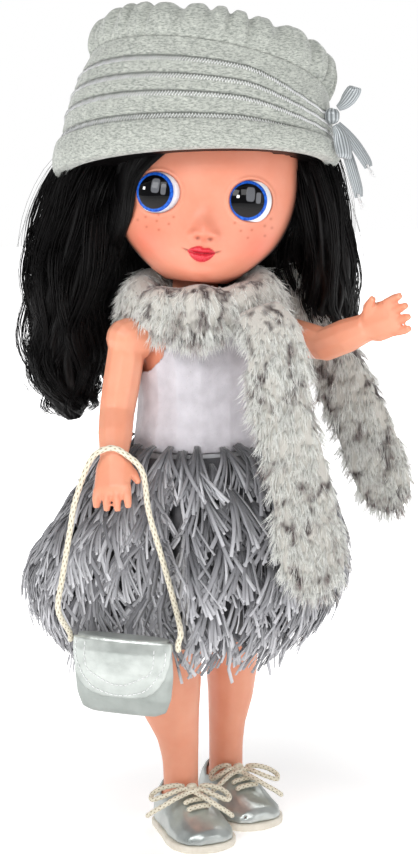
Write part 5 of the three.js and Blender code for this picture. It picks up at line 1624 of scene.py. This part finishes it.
HOLLOW = [(-44, 40), (-40, 6), (-30, -7.5), (26, -10.5), (34, 14), (38, 40)]


def pressed(points, deeper=0):
    """Yarn gives way behind the bag and its cord, and behind the scarf's front end."""
    middle = np.array(CORD_TOP)
    across = (points - middle) @ ACROSS_ROW
    towards = (points - middle) @ TOWARDS_ROW
    room = np.interp(across, [a for a, _ in HOLLOW], [t for _, t in HOLLOW]) - deeper
    beyond = np.maximum(towards - room, 0)
    return points - 0.9 * beyond[..., None] * TOWARDS_ROW


def held_in(points, beyond=5.5):
    """Keeps yarn ends within the skirt's own outline."""
    share = (points[:, 2] - SKIRT_HEM_Z) / (SKIRT_TOP_Z - SKIRT_HEM_Z)
    half, front, back, x, y = skirt_outline(np.clip(share, 0, 1))
    off_x, off_y = points[:, 0] - x, points[:, 1] - y
    deep = np.where(off_y < 0, front, back)
    far = np.hypot(off_x / (half + beyond), off_y / (deep + beyond))
    draw = np.where(far > 1, (0.65 + 0.35 * far) / np.maximum(far, 1e-6), 1)
    floor_z = SKIRT_HEM_Z - 8
    return np.stack([x + off_x * draw, y + off_y * draw, np.maximum(points[:, 2], floor_z)], 1)


def ribbon_bunch(name, seed, count=13, steps=7):
    """A fan of flat ribbons from one knot: along +Z, with +Y upwards, in metres."""
    local = np.random.default_rng(seed)
    fan = np.linspace(-0.46, 0.46, count) + local.normal(0, 0.07, count)
    reach = local.uniform(24, 35, count) * (1 - 0.16 * np.abs(fan))
    s = np.linspace(0, 1, steps)[None]
    curl = local.normal(0, 0.10, count)[:, None]
    x = np.sin(fan[:, None] * (0.35 + 0.65 * s) + curl * s) * reach[:, None] * s
    z = np.cos(fan[:, None]) * reach[:, None] * s
    rise = local.uniform(0.5, 4.2, count)[:, None]
    y = rise * np.sin(math.pi * s**0.8) - local.uniform(0, 3.5, count)[:, None] * s**2
    lines = np.stack([x + local.normal(0, 0.8, count)[:, None], y, z], -1)
    side = np.stack([np.cos(fan), local.normal(0, 0.45, count), -np.sin(fan)], -1)[:, None]
    piece = ribbons(name, lines, side, local.uniform(1.1, 1.8, count), RIBBON_THICK, YARN)
    along = np.repeat(np.linspace(0, 1, steps), 4)[None]
    # Each ribbon's own tone, darkened towards the knot as painted shade and lighter at its far end.
    tone = local.uniform(0.22, 0.72, count)[:, None] * np.minimum(0.1 + 1.5 * along, 1)
    keep_values(piece, "tone", tone + 0.26 * along**3)
    return source(piece)


def bunches_tree():
    """Bunches set on anchor points, each turned to the point's own aim and upward direction."""
    bunches = {f"Bunch_{letter}": "Object" for letter in "ABC"}
    tree = Growth("bunches_on_anchors", "Yarn", Anchors="Geometry", **bunches, Finish="Material")

    def named(kind, name):
        made = tree.node("GeometryNodeInputNamedAttribute", {"Name": name}, data_type=kind)
        return made.outputs["Attribute"]

    choice = tree.node("GeometryNodeJoinGeometry")
    for letter in "CBA":
        inputs = {"Object": tree.given[f"Bunch {letter}"], "As Instance": True}
        bunch = tree.node("GeometryNodeObjectInfo", inputs)
        tree.feed(choice.inputs["Geometry"], bunch.outputs["Geometry"])
    align = "FunctionNodeAlignRotationToVector"
    aim = tree.node(align, {"Vector": named("FLOAT_VECTOR", "aim")}, axis="Z")
    inputs = {"Rotation": aim.outputs["Rotation"], "Vector": named("FLOAT_VECTOR", "upward")}
    level = tree.node(align, inputs, axis="Y", pivot_axis="Z")
    bunch = choice.outputs["Geometry"]
    return tree.finished(tree.given["Anchors"], bunch, level, named("FLOAT", "grow"), pick=True)


def anchored(name, tree, anchors, bunches):
    """Yarn on anchors: rows of place, aim, upward, grow and tone in the doll's frame."""
    places, aim, upward, grow, tone = (np.array(column, float) for column in zip(*anchors))
    mesh = bpy.data.meshes.new(name)
    mesh.from_pydata((places * MM + SHIFT_ROW).tolist(), [], [])
    piece = placed(name, mesh)
    keep_values(piece, "aim", aim, "FLOAT_VECTOR")
    keep_values(piece, "upward", upward, "FLOAT_VECTOR")
    keep_values(piece, "grow", grow)
    keep_values(piece, "bunch_tone", tone)
    values = {f"Bunch {letter}": bunch for letter, bunch in zip("ABC", bunches)}
    return grown(piece, tree, {**values, "Finish": YARN})


def skirt_lining():
    """A closed lining under the yarn: down its outside and up its inside."""
    turn = full_turn(96)
    rows = []
    for shares, insets, deeper in (((0.06, 0.98), (12, 7), 6), ((0.98, 0.06), (14, 9), 8)):
        for s in np.linspace(*shares, 18):
            rows.append(pressed(skirt_place(s, turn, insets[0] if s < 0.6 else insets[1]), deeper))
    return closed_round(rows, "skirt_lining", YARN)


def tier(share):
    """Anchors for one tier of bunches: each place with its aim, upward direction, size and tone."""
    count = int(2 * math.pi * skirt_outline(share)[0] / BUNCH_PITCH)
    around = full_turn(count) + rng.uniform(-0.06, 0.06, count) + rng.uniform(0, 1)
    inset = np.interp(share, (0.3, 0.5, 0.9), (12, 5, 6))
    anchors = []
    for angle in around:
        here = np.clip(share + rng.uniform(-0.03, 0.03), 0, 1.04)
        spot = skirt_place(here, np.array([angle]), inset)[0]
        out = np.array([math.cos(angle), math.sin(angle), 0])
        side = np.array([-math.sin(angle), math.cos(angle), 0])
        steep = rng.uniform(0.85, 1.5) if share > 0.5 else rng.uniform(1.1, 2.2)
        aim = out - UP_ROW * steep + side * rng.normal(0, 0.26)
        upward = UP_ROW + out * steep
        anchors.append((spot, aim, upward, rng.uniform(0.8, 1.12), rng.uniform(-0.08, 0.16)))
    return anchors


def skirt():
    """The lining and the yarn over it, in three pieces of a few tiers each."""
    base = skirt_lining()
    # Painted shade: the lining under the yarn is near black.
    keep_values(base, "tone", [0.06] * len(base.data.vertices))
    wear(base, "torso", "skirt", slot="ribbon_yarn")
    tree = bunches_tree()
    bunches = [ribbon_bunch(f"ribbon_bunch_{n}", 20 + n) for n in range(3)]
    tiers = {"upper": (1.03, 0.96, 0.84, 0.74), "middle": (0.64, 0.54), "lower": (0.44, 0.35, 0.27)}
    for part, shares in tiers.items():
        anchors = [anchor for share in shares for anchor in tier(share)]
        piece = anchored(f"skirt_yarn_{part}", tree, anchors, bunches)
        reshaped(piece, lambda points: pressed(held_in(points)))
        wear(piece, "torso", slot="ribbon_yarn")


skirt()


# Shoes and bag of silver imitation leather
def leather_finish(name, dark, light):
    """Smooth silvered sheet with a faint cloudy lustre and a very fine grain."""
    leather = Finish(name, Metallic=0.6)
    cloud = leather.noise(11, 3, roughness=0.5)
    leather.set("Base Color", leather.ramp(cloud, (0.3, dark), (0.7, light)))
    leather.rough(cloud, 0.24, 0.38)
    leather.bump(leather.ramp(leather.cells(1.1, "DISTANCE_TO_EDGE"), (0.0, 0.0), (0.1, 1.0)), 0.012)
    leather.bump(leather.noise(9, 2), 0.5)
    return leather.material


SHOE_LEATHER = leather_finish("shoe_leather", "#A9AFAD", "#CDD2CF")
# One silver leather in two tones: the pouch's copy is darker, as painted shade, and the flap's copy lighter,
# as painted light.
BAG_LEATHER_PAINTED_SHADE = leather_finish("bag_leather", "#959B97", "#AFB5B1")
FLAP_LEATHER_PAINTED_LIGHT = leather_finish("flap_leather", "#ABB1AD", "#CBD0CC")
SOLE = mottled(
    "cream_sole", (4, 3), (0.3, "#E2DACB"), (0.7, "#F0EADD"), grain=(0.4, 0.04), Roughness=0.55
)


def shoes():
    kinds = (("upper", SHOE_LEATHER, 0.65, 9, "silver_leather"), ("sole", SOLE, 0.5, 4, "sole"))
    for word in SIDE:
        for kind, material, voxel, rounds, slot in kinds:
            node = f"{word}_{kind}"
            piece = moulded(f"{word}_shoe_{kind}", node, material, voxel, rounds)
            wear(piece, f"{word}_leg_body", node, slot=slot)


shoes()

SEWING_STEP = 0.1


def sewn(name, target, route, stitch=1.5, space=0.7, thick=0.2):
    """Stitches along a route on the bag's face: (x, z) places, put on the target by a ray."""
    spots = even_line([(x, 0, z) for x, z in route], SEWING_STEP)
    tree = surface_of(target, BAG_FRAME)
    lines = []
    pitch = int((stitch + space) / SEWING_STEP)
    for start in range(0, len(spots) - pitch, pitch):
        line = []
        for s in np.linspace(0, 1, 5):
            x, _, z = spots[start + int(s * stitch / SEWING_STEP)]
            hit = tree.ray_cast(Vector((x, -40, z)), Vector((0, 1, 0)))[0]
            if hit is not None:
                line.append([x, hit.y - thick * (0.2 + 0.9 * math.sin(math.pi * s)), z])
        if len(line) == 5:
            lines.append(line)
    stitches = [lofted(tube_rings(line, thick, 6)) for line in lines]
    points = carried(np.array([some for some, _ in stitches]), BAG_FRAME)
    return outward(repeated(name, points, stitches[0][1], SILVER_THREAD))


def flap_edge(inset):
    """The flap's outline a little way in from its edge, from one top corner to the other."""
    half = 0.48 * BAG_WIDTH - inset
    low = -FLAP_DROP + inset
    side = [(-half, -1.5), (-half, -8), (-half * 0.9, -13)]
    side += [(-half * 0.62, low + 3.4), (-half * 0.25, low + 0.6)]
    return side + [(0, low)] + [(-x, z) for x, z in side[::-1]]


def bag():
    pouch = moulded("bag_body", "bag_pouch", BAG_LEATHER_PAINTED_SHADE, voxel=0.75, rounds=6)
    wear(pouch, "bag", "bag_pouch", slot="silver_leather")
    cover = moulded("bag_cover", "bag_flap", FLAP_LEATHER_PAINTED_LIGHT, voxel=0.45, rounds=4)
    wear(cover, "flap", "bag_flap", slot="silver_leather")
    for n, inset in enumerate((1.3, 6.0)):
        wear(sewn(f"bag_stitches_{n + 1}", cover, flap_edge(inset)), "flap", slot="silver_leather")


bag()


# Floor and light
FLOOR_SIZE, FLOOR_DROP = 6, 0.0002  # in metres
WHITE = (1, 1, 1, 1)
SKY_STRENGTH = 0.38
LAMP_AIM = Vector((0, 0, 190))
LAMPS = [  # name, place, size in millimetres, power
    ("key_left", seen(-620, 820, 900), 420, 5.2),
    ("key_right", seen(-60, 1000, 980), 420, 3.6),
    ("fill", seen(900, 700, 500), 700, 2.2),
    ("rim", seen(300, -900, 1000), 500, 4),
]


def stage():
    """A pale floor that glows more with distance, four lamps and a white sky."""
    floor_finish = Finish("pale_floor", Roughness=0.9)
    for socket in ("Base Color", "Emission Color"):
        floor_finish.set(socket, WHITE)
    away = floor_finish.node("ShaderNodeVectorMath", {0: floor_finish.place()}, operation="LENGTH")
    inputs = {"Value": away.outputs["Value"], "From Min": 90, "From Max": 420, "To Min": 0.3, "To Max": 1.2}
    glow = floor_finish.node("ShaderNodeMapRange", inputs)
    floor_finish.set("Emission Strength", glow.outputs["Result"])
    bpy.ops.mesh.primitive_plane_add(size=FLOOR_SIZE, location=(0, 0, -FLOOR_DROP))
    floor = bpy.context.object
    floor.name = "floor"
    floor.data.materials.append(floor_finish.material)
    for name, place, size, power in LAMPS:
        data = bpy.data.lights.new(name, "AREA")
        data.size = size * MM
        data.energy = power
        stood(name, data, world(place), world(LAMP_AIM) - world(place))
    sky = bpy.data.worlds.new("studio")
    sky.use_nodes = True
    nodes = Nodes(sky.node_tree)
    lit = nodes.tree.nodes["Background"]
    nodes.feed(lit.inputs["Strength"], SKY_STRENGTH)
    nodes.feed(lit.inputs["Color"], WHITE)
    plain = nodes.node("ShaderNodeBackground", {"Color": WHITE})
    ray = nodes.node("ShaderNodeLightPath")
    inputs = {0: ray.outputs["Is Camera Ray"], 1: lit.outputs[0], 2: plain.outputs[0]}
    choice = nodes.node("ShaderNodeMixShader", inputs)
    nodes.feed(nodes.tree.nodes["World Output"].inputs["Surface"], choice.outputs[0])
    bpy.context.scene.world = sky
    bpy.context.scene.view_settings.view_transform = "Standard"


stage()
